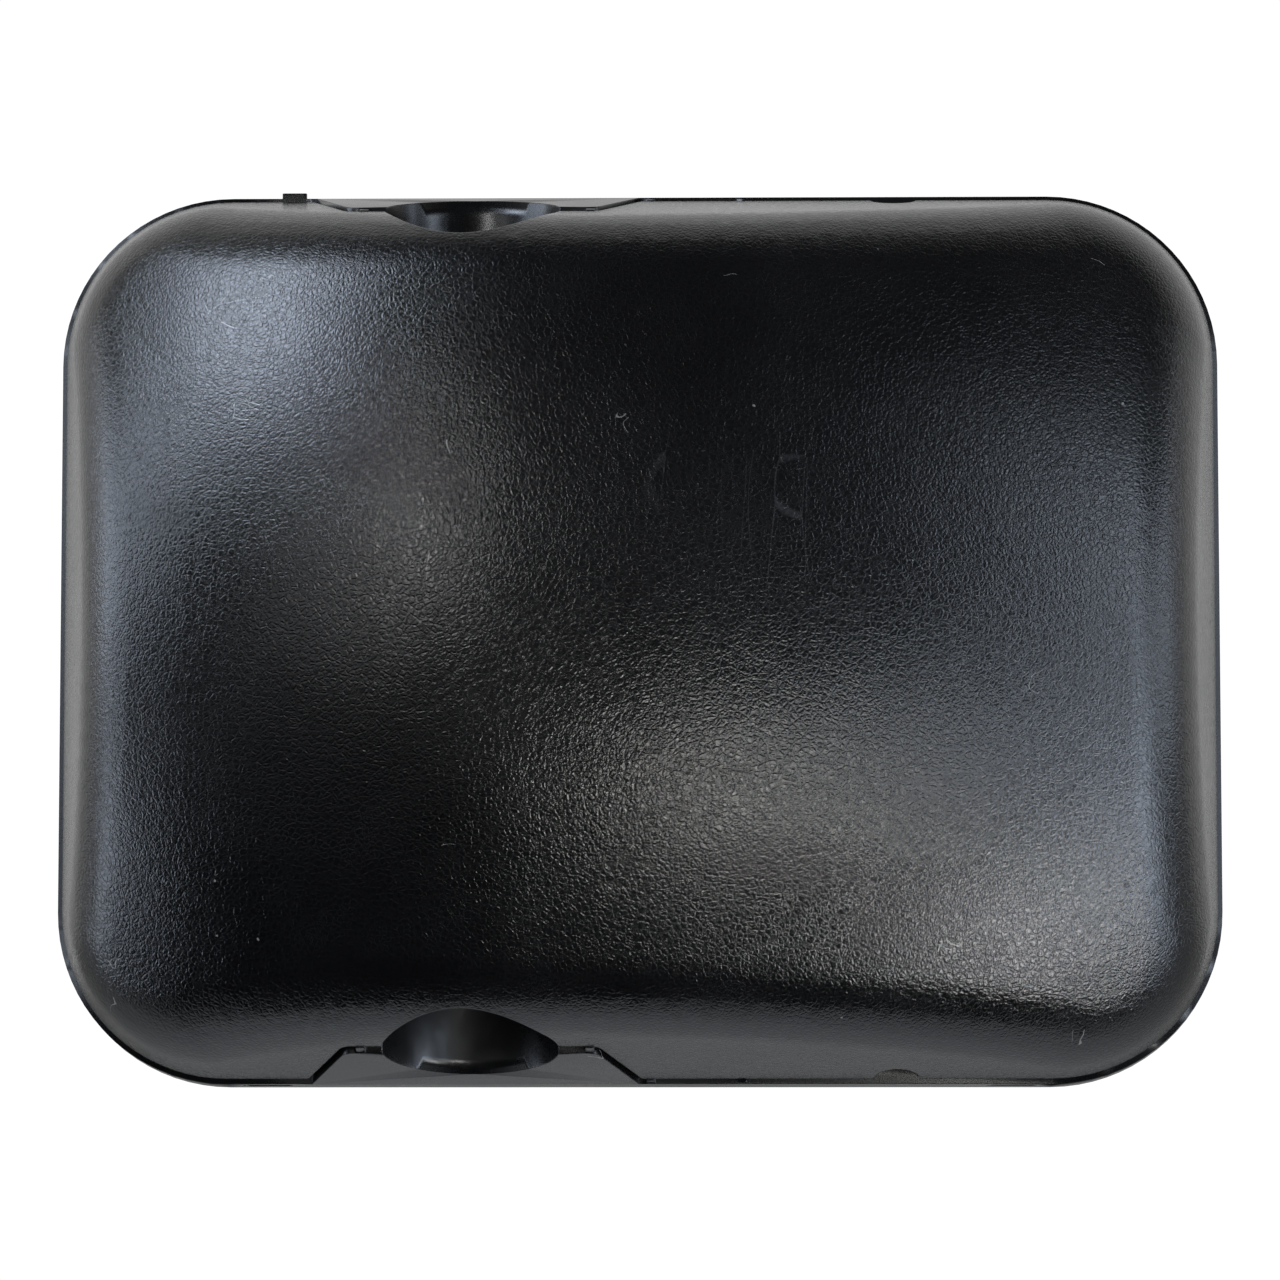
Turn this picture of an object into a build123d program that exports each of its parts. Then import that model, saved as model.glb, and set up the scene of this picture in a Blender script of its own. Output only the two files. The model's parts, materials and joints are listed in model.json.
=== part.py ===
from build123d import *
from math import cos, radians, tan
import os

# Rear-view mirror head for a truck or tractor, held on a vertical round tube.
# A deep grained cover snaps on the back of a shallow front frame that holds the convex glass. The tube
# passes right through the head behind the glass, and a split friction barrel grips it inside.
#
# Millimetres. The origin is on the tube's axis at the middle of the clamp. +Z is up along the tube,
# +Y points out of the glass, so the domed cover faces -Y, and +X points to the head's long, shallow end.

# ---- Head outline and depth ----
HEAD_WIDTH = 208.0
HEAD_HEIGHT = 160.0
HEAD_CORNER_RADIUS = 31.0
HEAD_CENTRE_X = 29.0  # head's centre line, from the tube's axis
LIP_DEPTH = 9.5  # visible side of the rim, down to the cover
LIP_DRAFT = 3.5  # degrees
WALL_DRAFT = 14.5  # degrees, of the side walls behind the lip
RIM_EDGE_RADIUS = 2.2

# ---- Rear cover ----
COVER_WALL = 2.5
COVER_STEP = 0.5  # how far the cover's skin lies inside the frame's
GROOVE_WIDTH = 1.6  # dark groove between cover and lip
CROWN_DEPTH = 33.0  # highest point of the dome, behind the tube's axis
CROWN_APEX_X = 10.0
CROWN_DROP_LEFT = 31.0  # how far the dome falls from its highest point to each side of the head
CROWN_DROP_RIGHT = 28.0
CROWN_DROP_UPRIGHT = 20.7
CROWN_SWEEP_LEFT = 55.0  # degrees of arc drawn to each side, past where the side walls trim it
CROWN_SWEEP_RIGHT = 42.0
ROLL_RADIUS = 22.0  # where the dome rolls over into the side walls
PRY_SLOT_X = 74.5
PRY_SLOT_WIDTH = 8.0
PRY_SLOT_DEPTH = 6.0

# ---- Tube, its holes in the head, and the raised bridges of the frame around them ----
TUBE_DIAMETER = 20.0
TUBE_ROOM = 5.4  # beside and behind the tube in the head's holes, which lets the head tilt
TUBE_ROOM_FRONT = 4.2  # in front of the tube, where the frame's trough is flatter
BRIDGE_SHOULDER = 6.5  # flat top of the bridge, each side of the hole
BRIDGE_RAMP = 7.0  # length across of each sloping end
BRIDGE_CORNER_RADIUS = 2.5  # where the sloping ends meet the bridge's flat top
BRIDGE_GAP = 2.6  # between the bridge's top and the cover, at the tube's axis
RAMP_GAP = 1.2  # between the bridge's sloping ends and the cover
BRIDGE_WALL = 2.5
TROUGH_WALL = 2.5
TROUGH_MARGIN = 5.5  # from the clamp saddle's ears
TROUGH_WEB_WIDTH = 12.0
NIB_WIDTH = 1.5
NIB_CLEARANCE = 0.25
BRIDGE_NIB_MARGINS = (3.7, 5.4)  # from the hole, left and right
GROOVE_NIB_MARGINS = (2.2, 18.4)  # from the right foot of the bridge
RELEASE_TAB_MARGIN = 4.1  # from the left foot of the bridge
RELEASE_TAB_WIDTH = 4.4
RELEASE_TAB_HEIGHT = 0.4

# ---- Frame ----
FLOOR_THICKNESS = 3.0
FLOOR_CLEARANCE = 0.1  # from the clamp saddle
PARTING_STEP = 1.5  # from the floor's rear face forward to the cover's plane
RIM_WALL = 3.0
TONGUE_WALL = 1.8
TONGUE_DEPTH = 7.5
TONGUE_CLEARANCE = 0.4
FLOOR_RIB_WALL = 1.6
FLOOR_RIB_HEIGHT = 7.0
FLOOR_RIB_PITCH = 32.0
FLOOR_RIB_Z = 38.0
FLOOR_RIB_MARGIN = 8.0  # from the ribs' ends to the tongue and to the clamp
DRAIN_WIDTH = 9.0
DRAIN_DEPTH = 2.4
DRAIN_SIDE_MARGIN = 38.0

# ---- Clips that hold the cover ----
CLIP_LEFT_MARGIN = 3.0  # from the end of the left corner's rounding
CLIP_RIGHT_MARGIN = 15.0
CLIP_BRIDGE_MARGIN = 10.7  # from the foot of the tube's bridge
CLIP_WIDTH = 8.0
CLIP_STEEL = 0.5
CLIP_RIB_WALL = 1.8
CLIP_RIB_OFFSET = 1.6  # from the cover's inner face to the rib
CLIP_RIB_LENGTH = 17.0
CLIP_RIB_CLEARANCE = 2.5  # from the rib's end to the frame's floor
CLIP_PLAY = 0.05
CLIP_OUTER_LEG = 4.0
CLIP_INNER_LEG = 9.5
CLIP_KINK = 1.2
CLIP_NOTCH_PLAY = 1.0

# ---- Split sleeve on the tube ----
SLEEVE_WALL = 2.0
SLEEVE_FLANGE_STEP = 1.5
SLEEVE_FLANGE_THICKNESS = 2.0
SPLIT_GAP = 0.8
RUNNING_CLEARANCE = 0.05
END_CLEARANCE = 0.1

# ---- Split tilt barrel, axis along X ----
BARREL_WALL = 4.95  # at its thinnest, round the sleeve
BARREL_END_WALL = 8.95  # from the sleeve to the barrel's ends
BARREL_FLAT_STEP = 1.5  # from the barrel's round to its top and bottom flats
BARREL_SIDE_PLAY = 0.3
DOWEL_RADIUS = 1.5
DOWEL_LENGTH = 10.0
DOWEL_CLEARANCE = 0.02

# ---- Clamp saddle in front of the barrel and clamp yoke behind it ----
CLAMP_GAP = 2.0  # between saddle and yoke
CLAMP_PAD_WIDTH = 13.7  # each side of the barrel, for the bolts
CLAMP_EDGE_RADIUS = 1.5
SEAT_WALL = 1.85  # at its thinnest, in front of the barrel
SADDLE_OVERHANG = 0.5  # past the barrel's flats
SADDLE_KEY_HEIGHT = 24.0  # the raised key that sits in the frame's window
SADDLE_KEY_RECESS = 0.4  # behind the pocket's floor
KEY_CLEARANCE = 0.3
TUBE_WAY_CLEARANCE = 2.0  # round the sleeve's flange
EAR_WIDTH = 12.0
EAR_REACH = 5.5  # from the saddle to its ear's screw
EAR_THICKNESS = 3.0
YOKE_STEP = 1.0  # how much lower the yoke is than the saddle, at each end
YOKE_WALL = 4.2
YOKE_PAD_THICKNESS = 7.0
YOKE_RIB_WALL = 3.0

# ---- Fasteners ----
CLAMP_BOLT_SPACING_Z = 18.0
BOLT_RADIUS = 3.0
BOLT_PAST_NUT = 1.4
BOLT_HEAD_RADIUS = 5.0
BOLT_HEAD_HEIGHT = 6.0
BOLT_SOCKET_ACROSS = 5.0
BOLT_SOCKET_DEPTH = 3.0
BOLT_HOLE_CLEARANCE = 0.3
THREAD_CLEARANCE = 0.02
WASHER_RADIUS = 6.0
WASHER_THICKNESS = 1.6
SPRING_WASHER_RADIUS = 5.6
SPRING_WASHER_THICKNESS = 1.5
SPRING_WASHER_SLIT = 0.8
NUT_ACROSS = 10.0
NUT_HEIGHT = 5.0
NUT_RECESS = 2.4
NUT_POCKET_CLEARANCE = 0.15
INSERT_RADIUS = 2.8
INSERT_LENGTH = 6.5
BOSS_RADIUS = 4.8
BOSS_HEIGHT = 7.0
BOSS_CLEARANCE = 0.05
SADDLE_SCREW_RADIUS = 2.0
SADDLE_SCREW_HEAD_RADIUS = 3.8
SADDLE_SCREW_HEAD_HEIGHT = 2.8
PLATE_SCREW_RADIUS = 1.5
PLATE_SCREW_BITE = 2.0  # how far it goes into the backing plate
PLATE_SCREW_HEAD_RADIUS = 3.2
PLATE_SCREW_HEAD_HEIGHT = 2.3
PLATE_SCREW_CORNER_INSET = (22.0, 28.0)
PLATE_SCREW_MIDDLE_INSET = 20.0
CROSS_RECESS_WIDTH = 0.9
CROSS_RECESS_DEPTH = 1.3

# ---- Glass pack ----
GLASS_RADIUS = 1400.0
GLASS_STAND_OUT = 1.4  # of its highest point, in front of the rim
GLASS_THICKNESS = 2.2
PAD_THICKNESS = 0.6
PAD_INSET = 3.0
PLATE_WALL = 1.6
PLATE_BOSS_RADIUS = 3.6
PLATE_RIB_WALL = 1.4
PLATE_RIB_PITCH = 38.0
GASKET_WALL = 2.4
GASKET_LIP = 1.3
GASKET_LIP_THICKNESS = 0.7
SEAT_CLEARANCE = 0.05
POCKET_CLEARANCE = 0.1

# ---- Sizes that follow from those above ----
TUBE_HOLE_RADIUS = TUBE_DIAMETER / 2 + TUBE_ROOM
BRIDGE_TOP_WIDTH = 2 * (TUBE_HOLE_RADIUS + BRIDGE_SHOULDER)
BRIDGE_FOOT_WIDTH = BRIDGE_TOP_WIDTH + 2 * BRIDGE_RAMP
BRIDGE_TOP_Y = BRIDGE_GAP / 2
SLEEVE_BORE = TUBE_DIAMETER / 2
SLEEVE_RADIUS = SLEEVE_BORE + SLEEVE_WALL
SLEEVE_FLANGE_RADIUS = SLEEVE_RADIUS + SLEEVE_FLANGE_STEP
TUBE_WAY_RADIUS = SLEEVE_FLANGE_RADIUS + TUBE_WAY_CLEARANCE
BARREL_BORE = SLEEVE_RADIUS + RUNNING_CLEARANCE
BARREL_RADIUS = BARREL_BORE + BARREL_WALL
BARREL_LENGTH = 2 * (BARREL_BORE + BARREL_END_WALL)
BARREL_FLAT_Z = BARREL_RADIUS - BARREL_FLAT_STEP
DOWEL_X = BARREL_BORE + BARREL_END_WALL / 2
DOWEL_Z = BARREL_FLAT_Z / 2
SLEEVE_FLANGE_Z = BARREL_FLAT_Z + END_CLEARANCE
SLEEVE_END_Z = SLEEVE_FLANGE_Z + SLEEVE_FLANGE_THICKNESS
SEAT_RADIUS = BARREL_RADIUS + RUNNING_CLEARANCE
SEAT_LENGTH = BARREL_LENGTH + 2 * BARREL_SIDE_PLAY
CLAMP_WIDTH = SEAT_LENGTH + 2 * CLAMP_PAD_WIDTH
CLAMP_BOLT_SPACING_X = SEAT_LENGTH + CLAMP_PAD_WIDTH
SADDLE_HEIGHT = 2 * (BARREL_FLAT_Z + SADDLE_OVERHANG)
SADDLE_REAR_Y = CLAMP_GAP / 2
SADDLE_FRONT_Y = SEAT_RADIUS + SEAT_WALL
INSERT_SPACING_X = CLAMP_BOLT_SPACING_X
INSERT_SPACING_Z = SADDLE_HEIGHT + 2 * EAR_REACH
EAR_HEIGHT = INSERT_SPACING_Z + EAR_WIDTH
EAR_X = INSERT_SPACING_X / 2
FLOOR_REAR_Y = SADDLE_FRONT_Y + FLOOR_CLEARANCE
POCKET_FLOOR_Y = FLOOR_REAR_Y + FLOOR_THICKNESS
PARTING_Y = FLOOR_REAR_Y + PARTING_STEP
RIM_FRONT_Y = PARTING_Y + LIP_DEPTH
COVER_EDGE_Y = PARTING_Y - GROOVE_WIDTH
SADDLE_KEY_FRONT_Y = POCKET_FLOOR_Y - SADDLE_KEY_RECESS
EAR_FRONT_Y = FLOOR_REAR_Y - BOSS_HEIGHT
EAR_REAR_Y = EAR_FRONT_Y - EAR_THICKNESS
SADDLE_SCREW_LENGTH = EAR_THICKNESS + INSERT_LENGTH
PLATE_SCREW_LENGTH = FLOOR_THICKNESS + PLATE_SCREW_BITE
YOKE_HEIGHT = SADDLE_HEIGHT - 2 * YOKE_STEP
YOKE_FRONT_Y = -CLAMP_GAP / 2
YOKE_PAD_REAR_Y = YOKE_FRONT_Y - YOKE_PAD_THICKNESS
WASHER_REAR_Y = YOKE_PAD_REAR_Y - WASHER_THICKNESS
BOLT_SEAT_Y = WASHER_REAR_Y - SPRING_WASHER_THICKNESS
NUT_FRONT_Y = SADDLE_FRONT_Y - NUT_RECESS
BOLT_LENGTH = NUT_FRONT_Y + BOLT_PAST_NUT - BOLT_SEAT_Y
TROUGH_INNER_END = EAR_HEIGHT / 2 + TROUGH_MARGIN
WALL_ACROSS = COVER_WALL / cos(radians(WALL_DRAFT))
TONGUE_INSET = COVER_STEP + WALL_ACROSS + TONGUE_CLEARANCE
TONGUE_END_Y = PARTING_Y - TONGUE_DEPTH
APEX_TO_LEFT = CROWN_APEX_X - HEAD_CENTRE_X + HEAD_WIDTH / 2
APEX_TO_RIGHT = HEAD_WIDTH - APEX_TO_LEFT
CROWN_RADIUS_LEFT = (APEX_TO_LEFT**2 + CROWN_DROP_LEFT**2) / (2 * CROWN_DROP_LEFT)
CROWN_RADIUS_RIGHT = (APEX_TO_RIGHT**2 + CROWN_DROP_RIGHT**2) / (2 * CROWN_DROP_RIGHT)
CROWN_RADIUS_UPRIGHT = ((HEAD_HEIGHT / 2) ** 2 + CROWN_DROP_UPRIGHT**2) / (2 * CROWN_DROP_UPRIGHT)
CROWN_AXIS_Y = CROWN_RADIUS_UPRIGHT - CROWN_DEPTH
TROUGH_DEPTH = TUBE_DIAMETER / 2 + TUBE_ROOM_FRONT
BRIDGE_NIB_XS = (-TUBE_HOLE_RADIUS - BRIDGE_NIB_MARGINS[0], TUBE_HOLE_RADIUS + BRIDGE_NIB_MARGINS[1])
GROOVE_NIB_XS = tuple(BRIDGE_FOOT_WIDTH / 2 + margin for margin in GROOVE_NIB_MARGINS)
RELEASE_TAB_X = -BRIDGE_FOOT_WIDTH / 2 - RELEASE_TAB_MARGIN
FLOOR_RIB_INNER_X = CLAMP_WIDTH / 2 + FLOOR_RIB_MARGIN
FLOOR_RIB_XS = (-FLOOR_RIB_INNER_X, HEAD_CENTRE_X + FLOOR_RIB_PITCH, HEAD_CENTRE_X + 2 * FLOOR_RIB_PITCH)
DRAIN_SPREAD = HEAD_WIDTH / 2 - DRAIN_SIDE_MARGIN
CLIP_RIB_END_Y = FLOOR_REAR_Y - CLIP_RIB_CLEARANCE
CLIP_RIB_ROOT_Y = CLIP_RIB_END_Y - CLIP_RIB_LENGTH
CORNER_REACH = HEAD_WIDTH / 2 - HEAD_CORNER_RADIUS
CLIP_XS = (
    HEAD_CENTRE_X - CORNER_REACH + CLIP_LEFT_MARGIN,
    BRIDGE_FOOT_WIDTH / 2 + CLIP_BRIDGE_MARGIN,
    HEAD_CENTRE_X + CORNER_REACH - CLIP_RIGHT_MARGIN,
)
GLASS_APEX_Y = RIM_FRONT_Y + GLASS_STAND_OUT
GLASS_INSET = RIM_WALL + POCKET_CLEARANCE + GASKET_WALL
PAD_FRONT_RADIUS = GLASS_RADIUS - GLASS_THICKNESS
PLATE_FRONT_RADIUS = PAD_FRONT_RADIUS - PAD_THICKNESS
PLATE_REAR_RADIUS = PLATE_FRONT_RADIUS - PLATE_WALL
PLATE_SEAT_Y = POCKET_FLOOR_Y + SEAT_CLEARANCE
REACH = 2 * HEAD_HEIGHT  # longer than any cut that goes right through
FINISHED = []


def rear_plane(y):
    """Plane across the head at depth y, with its normal towards the rear."""
    return Plane.XZ.offset(-y)


def skin_inset(y):
    """How far the frame's skin lies inside the overall outline at depth y."""
    lip = (RIM_FRONT_Y - max(y, PARTING_Y)) * tan(radians(LIP_DRAFT))
    return lip + max(PARTING_Y - y, 0) * tan(radians(WALL_DRAFT))


def outline(inset):
    """The head's rounded outline, drawn in the open sketch and reduced by inset."""
    with Locations((HEAD_CENTRE_X, 0)):
        RectangleRounded(HEAD_WIDTH - 2 * inset, HEAD_HEIGHT - 2 * inset, HEAD_CORNER_RADIUS - inset)


def drafted_block(start_y, end_y, inset):
    """Solid inside the side walls' skin between two depths, reduced by inset all round."""
    with BuildPart() as block:
        with BuildSketch(rear_plane(start_y)):
            outline(skin_inset(start_y) + inset)
        extrude(amount=start_y - end_y, taper=WALL_DRAFT)
    return block.part


def dome(start_y, side_inset, crown_inset):
    """Solid inside the domed rear skin, open plane at start_y, reduced by the two insets."""
    left_radius = CROWN_RADIUS_LEFT - crown_inset
    right_radius = CROWN_RADIUS_RIGHT - crown_inset
    # The profile is drawn beyond the axis, which puts the turned surface's seam outside the head.
    apex = CROWN_AXIS_Y + CROWN_RADIUS_UPRIGHT - crown_inset
    with BuildPart() as shape:
        add(drafted_block(start_y, -CROWN_DEPTH - ROLL_RADIUS, side_inset))
        with BuildSketch(Plane.XY):
            with BuildLine():
                left_centre = (CROWN_APEX_X, apex - left_radius)
                right_centre = (CROWN_APEX_X, apex - right_radius)
                left_arc = CenterArc(left_centre, left_radius, 90, CROWN_SWEEP_LEFT)
                right_arc = CenterArc(right_centre, right_radius, 90, -CROWN_SWEEP_RIGHT)
                left, right = left_arc @ 1, right_arc @ 1
                Polyline(left, (left.X, CROWN_AXIS_Y), (right.X, CROWN_AXIS_Y), right)
            make_face()
        revolve(axis=Axis((0, CROWN_AXIS_Y, 0), (1, 0, 0)), mode=Mode.INTERSECT)
        # The crown's two faces meet tangentially above its highest point; only their outer edges are rounded.
        left_crown, right_crown = shape.faces().sort_by(Axis.Y)[0:2]
        crown_edges = left_crown.edges() + right_crown.edges()
        fillet([edge for edge in crown_edges if crown_edges.count(edge) == 1], ROLL_RADIUS - crown_inset)
    return shape.part


def bridge_prism(gap, top_y):
    """Trapezium around the tube, run through the head from top to bottom, grown by gap at its ends."""
    top = BRIDGE_TOP_WIDTH / 2 + gap
    foot = BRIDGE_FOOT_WIDTH / 2 + gap
    slope = (foot - top) / (PARTING_Y - BRIDGE_TOP_Y)
    beyond = foot + slope * GROOVE_WIDTH
    upper = top - slope * (BRIDGE_TOP_Y - top_y)
    far_y = PARTING_Y + GROOVE_WIDTH
    with BuildPart() as prism:
        with BuildSketch(Plane.XY) as profile:
            with BuildLine():
                Polyline((-beyond, far_y), (-upper, top_y), (upper, top_y), (beyond, far_y), close=True)
            make_face()
            fillet(profile.vertices().group_by(Axis.Y)[0], BRIDGE_CORNER_RADIUS)
        extrude(amount=REACH, both=True)
    return prism.part


def glass_block(inset, radius):
    """Solid from the pocket's floor to a sphere about the glass's centre, inside the outline less inset."""
    with BuildPart() as block:
        with BuildSketch(rear_plane(PLATE_SEAT_Y)):
            outline(inset)
        extrude(amount=PLATE_SEAT_Y - GLASS_APEX_Y - 2 * GASKET_WALL)
        with Locations((HEAD_CENTRE_X, GLASS_APEX_Y - GLASS_RADIUS, 0)):
            Sphere(radius, mode=Mode.INTERSECT)
    return block.part


def plate_screw_places():
    """Places of the six screws behind the glass, across the head and upright."""
    x = HEAD_WIDTH / 2 - PLATE_SCREW_CORNER_INSET[0]
    z = HEAD_HEIGHT / 2 - PLATE_SCREW_CORNER_INSET[1]
    middle = HEAD_HEIGHT / 2 - PLATE_SCREW_MIDDLE_INSET
    centre = HEAD_CENTRE_X
    return [
        (centre - x, -z),
        (centre - x, z),
        (centre, -middle),
        (centre, middle),
        (centre + x, -z),
        (centre + x, z),
    ]


def finish(piece, name):
    """Labels a finished piece and writes its STEP file."""
    piece.label = name
    export_step(piece, f"parts/{name}.step")
    FINISHED.append(name)


def split_half(whole, keep):
    """Half of a piece that is split along the tube's plane, with half the gap taken off."""
    side = 1 if keep == Keep.TOP else -1
    with BuildPart() as half:
        add(whole)
        split(bisect_by=Plane((0, side * SPLIT_GAP / 2, 0), z_dir=(0, 1, 0)), keep=keep)
    return half.part


os.makedirs("parts", exist_ok=True)


# ---- Rear cover: domed shell, tube half holes, pry slots, and ribs for the clips ----
cover_skin = dome(COVER_EDGE_Y, COVER_STEP, COVER_STEP)
cover_hollow = dome(PARTING_Y, COVER_STEP + WALL_ACROSS, COVER_STEP + COVER_WALL)
cover_notch = bridge_prism(RAMP_GAP, -BRIDGE_GAP / 2)
cover_inner_z = HEAD_HEIGHT / 2 - skin_inset(CLIP_RIB_END_Y) - COVER_STEP - WALL_ACROSS
clip_rib_z = cover_inner_z - CLIP_RIB_OFFSET - CLIP_RIB_WALL / 2

with BuildPart() as clip_ribs:
    for side in (-1, 1):
        with BuildSketch(Plane.XY.offset(side * clip_rib_z - CLIP_RIB_WALL / 2)):
            for x in CLIP_XS:
                with Locations((x, (CLIP_RIB_END_Y + CLIP_RIB_ROOT_Y) / 2)):
                    Rectangle(CLIP_WIDTH, CLIP_RIB_END_Y - CLIP_RIB_ROOT_Y)
        extrude(amount=CLIP_RIB_WALL)
    add(dome(PARTING_Y, COVER_STEP + WALL_ACROSS / 2, COVER_STEP + COVER_WALL / 2), mode=Mode.INTERSECT)

with BuildPart() as rear_cover:
    add(cover_skin)
    add(cover_hollow, mode=Mode.SUBTRACT)
    add(cover_notch, mode=Mode.SUBTRACT)
    with BuildSketch(Plane.XY):
        Circle(TUBE_HOLE_RADIUS)
        with Locations((PRY_SLOT_X, COVER_EDGE_Y)):
            Ellipse(PRY_SLOT_WIDTH / 2, PRY_SLOT_DEPTH)
    extrude(amount=REACH, both=True, mode=Mode.SUBTRACT)
    add(clip_ribs.part)
finish(rear_cover.part, "rear_cover")


# ---- Spring-steel clips, pushed over the cover's ribs ----
leg_gap = CLIP_RIB_WALL / 2 + CLIP_PLAY
tip_y = CLIP_RIB_END_Y + CLIP_PLAY
outer_end_y = tip_y - CLIP_OUTER_LEG
inner_end_y = tip_y - CLIP_INNER_LEG
kink_y = (tip_y + inner_end_y) / 2

with BuildPart() as cover_clips:
    for x in CLIP_XS:
        for side in (-1, 1):
            with BuildSketch(Plane((x, 0, side * clip_rib_z), x_dir=(0, 1, 0), z_dir=(1, 0, 0))):
                with BuildLine() as clip_path:
                    outer_line = side * (leg_gap + CLIP_STEEL / 2)
                    top_y = tip_y + CLIP_STEEL / 2
                    Polyline(
                        (outer_end_y, outer_line),
                        (top_y, outer_line),
                        (top_y, -outer_line),
                        (kink_y + CLIP_KINK, -outer_line),
                        (kink_y, -outer_line - side * CLIP_KINK),
                        (kink_y - CLIP_KINK, -outer_line),
                        (inner_end_y, -outer_line),
                    )
                trace(line_width=CLIP_STEEL)
            extrude(amount=CLIP_WIDTH / 2, both=True)
finish(cover_clips.part, "cover_clips")


# ---- Front frame: rim, floor, tongue, tube bridges with their troughs, bosses and ribs ----
bridge_keep = bridge_prism(0, BRIDGE_TOP_Y)
bridge_skin = drafted_block(PARTING_Y, 0, 0)
bridge_hollow = drafted_block(FLOOR_REAR_Y, -1, BRIDGE_WALL / cos(radians(WALL_DRAFT)))
tongue_block = dome(PARTING_Y, TONGUE_INSET, COVER_STEP + COVER_WALL + TONGUE_CLEARANCE)
tongue_hollow = drafted_block(FLOOR_REAR_Y, TONGUE_END_Y - 1, TONGUE_INSET + TONGUE_WALL)
nib_skin = drafted_block(PARTING_Y, -BRIDGE_GAP / 2 + NIB_CLEARANCE, NIB_CLEARANCE)
nib_hollow = drafted_block(PARTING_Y, -BRIDGE_GAP, WALL_ACROSS)
trough_radius = TUBE_HOLE_RADIUS + TROUGH_WALL
clip_notch_width = CLIP_WIDTH + 2 * CLIP_NOTCH_PLAY
floor_half_width = HEAD_WIDTH / 2 - skin_inset(TONGUE_END_Y) - TONGUE_INSET - TONGUE_WALL
floor_half_height = HEAD_HEIGHT / 2 - skin_inset(TONGUE_END_Y) - TONGUE_INSET - TONGUE_WALL
rib_half_length = floor_half_height - FLOOR_RIB_MARGIN
rib_left_x = HEAD_CENTRE_X - floor_half_width + FLOOR_RIB_MARGIN
rib_right_x = HEAD_CENTRE_X + floor_half_width - FLOOR_RIB_MARGIN

with BuildPart() as bridges:
    add(bridge_skin)
    add(bridge_hollow, mode=Mode.SUBTRACT)
    add(bridge_keep, mode=Mode.INTERSECT)

with BuildPart() as troughs:
    for side in (-1, 1):
        with BuildSketch(Plane.XY.offset(side * TROUGH_INNER_END)):
            Ellipse(trough_radius, TROUGH_DEPTH + TROUGH_WALL)
            with Locations((0, FLOOR_REAR_Y / 2)):
                Rectangle(TROUGH_WEB_WIDTH, FLOOR_REAR_Y)
            Ellipse(TUBE_HOLE_RADIUS, TROUGH_DEPTH, mode=Mode.SUBTRACT)
            with Locations((0, BRIDGE_TOP_Y - trough_radius)):
                Rectangle(3 * trough_radius, 2 * trough_radius, mode=Mode.SUBTRACT)
        extrude(amount=side * HEAD_HEIGHT / 2)
    add(bridge_skin, mode=Mode.INTERSECT)

with BuildPart() as tongue:
    add(tongue_block)
    split(bisect_by=rear_plane(TONGUE_END_Y), keep=Keep.BOTTOM)
    add(tongue_hollow, mode=Mode.SUBTRACT)
    with BuildSketch(Plane.XY):
        for x in CLIP_XS:
            with Locations((x, FLOOR_REAR_Y - TONGUE_DEPTH)):
                Rectangle(clip_notch_width, 2 * TONGUE_DEPTH)
        with Locations((0, FLOOR_REAR_Y - TONGUE_DEPTH)):
            Rectangle(BRIDGE_FOOT_WIDTH + 2 * RAMP_GAP, 2 * TONGUE_DEPTH)
    extrude(amount=REACH, both=True, mode=Mode.SUBTRACT)

with BuildPart() as nibs:
    add(nib_skin)
    add(nib_hollow, mode=Mode.SUBTRACT)
    with BuildSketch(Plane.XY):
        for x in BRIDGE_NIB_XS:
            with Locations((x, 0)):
                Rectangle(NIB_WIDTH, 2 * BRIDGE_GAP)
        for x in GROOVE_NIB_XS:
            with Locations((x, COVER_EDGE_Y + NIB_CLEARANCE + GROOVE_WIDTH)):
                Rectangle(NIB_WIDTH, 2 * GROOVE_WIDTH)
    extrude(amount=REACH, both=True, mode=Mode.INTERSECT)

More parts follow.
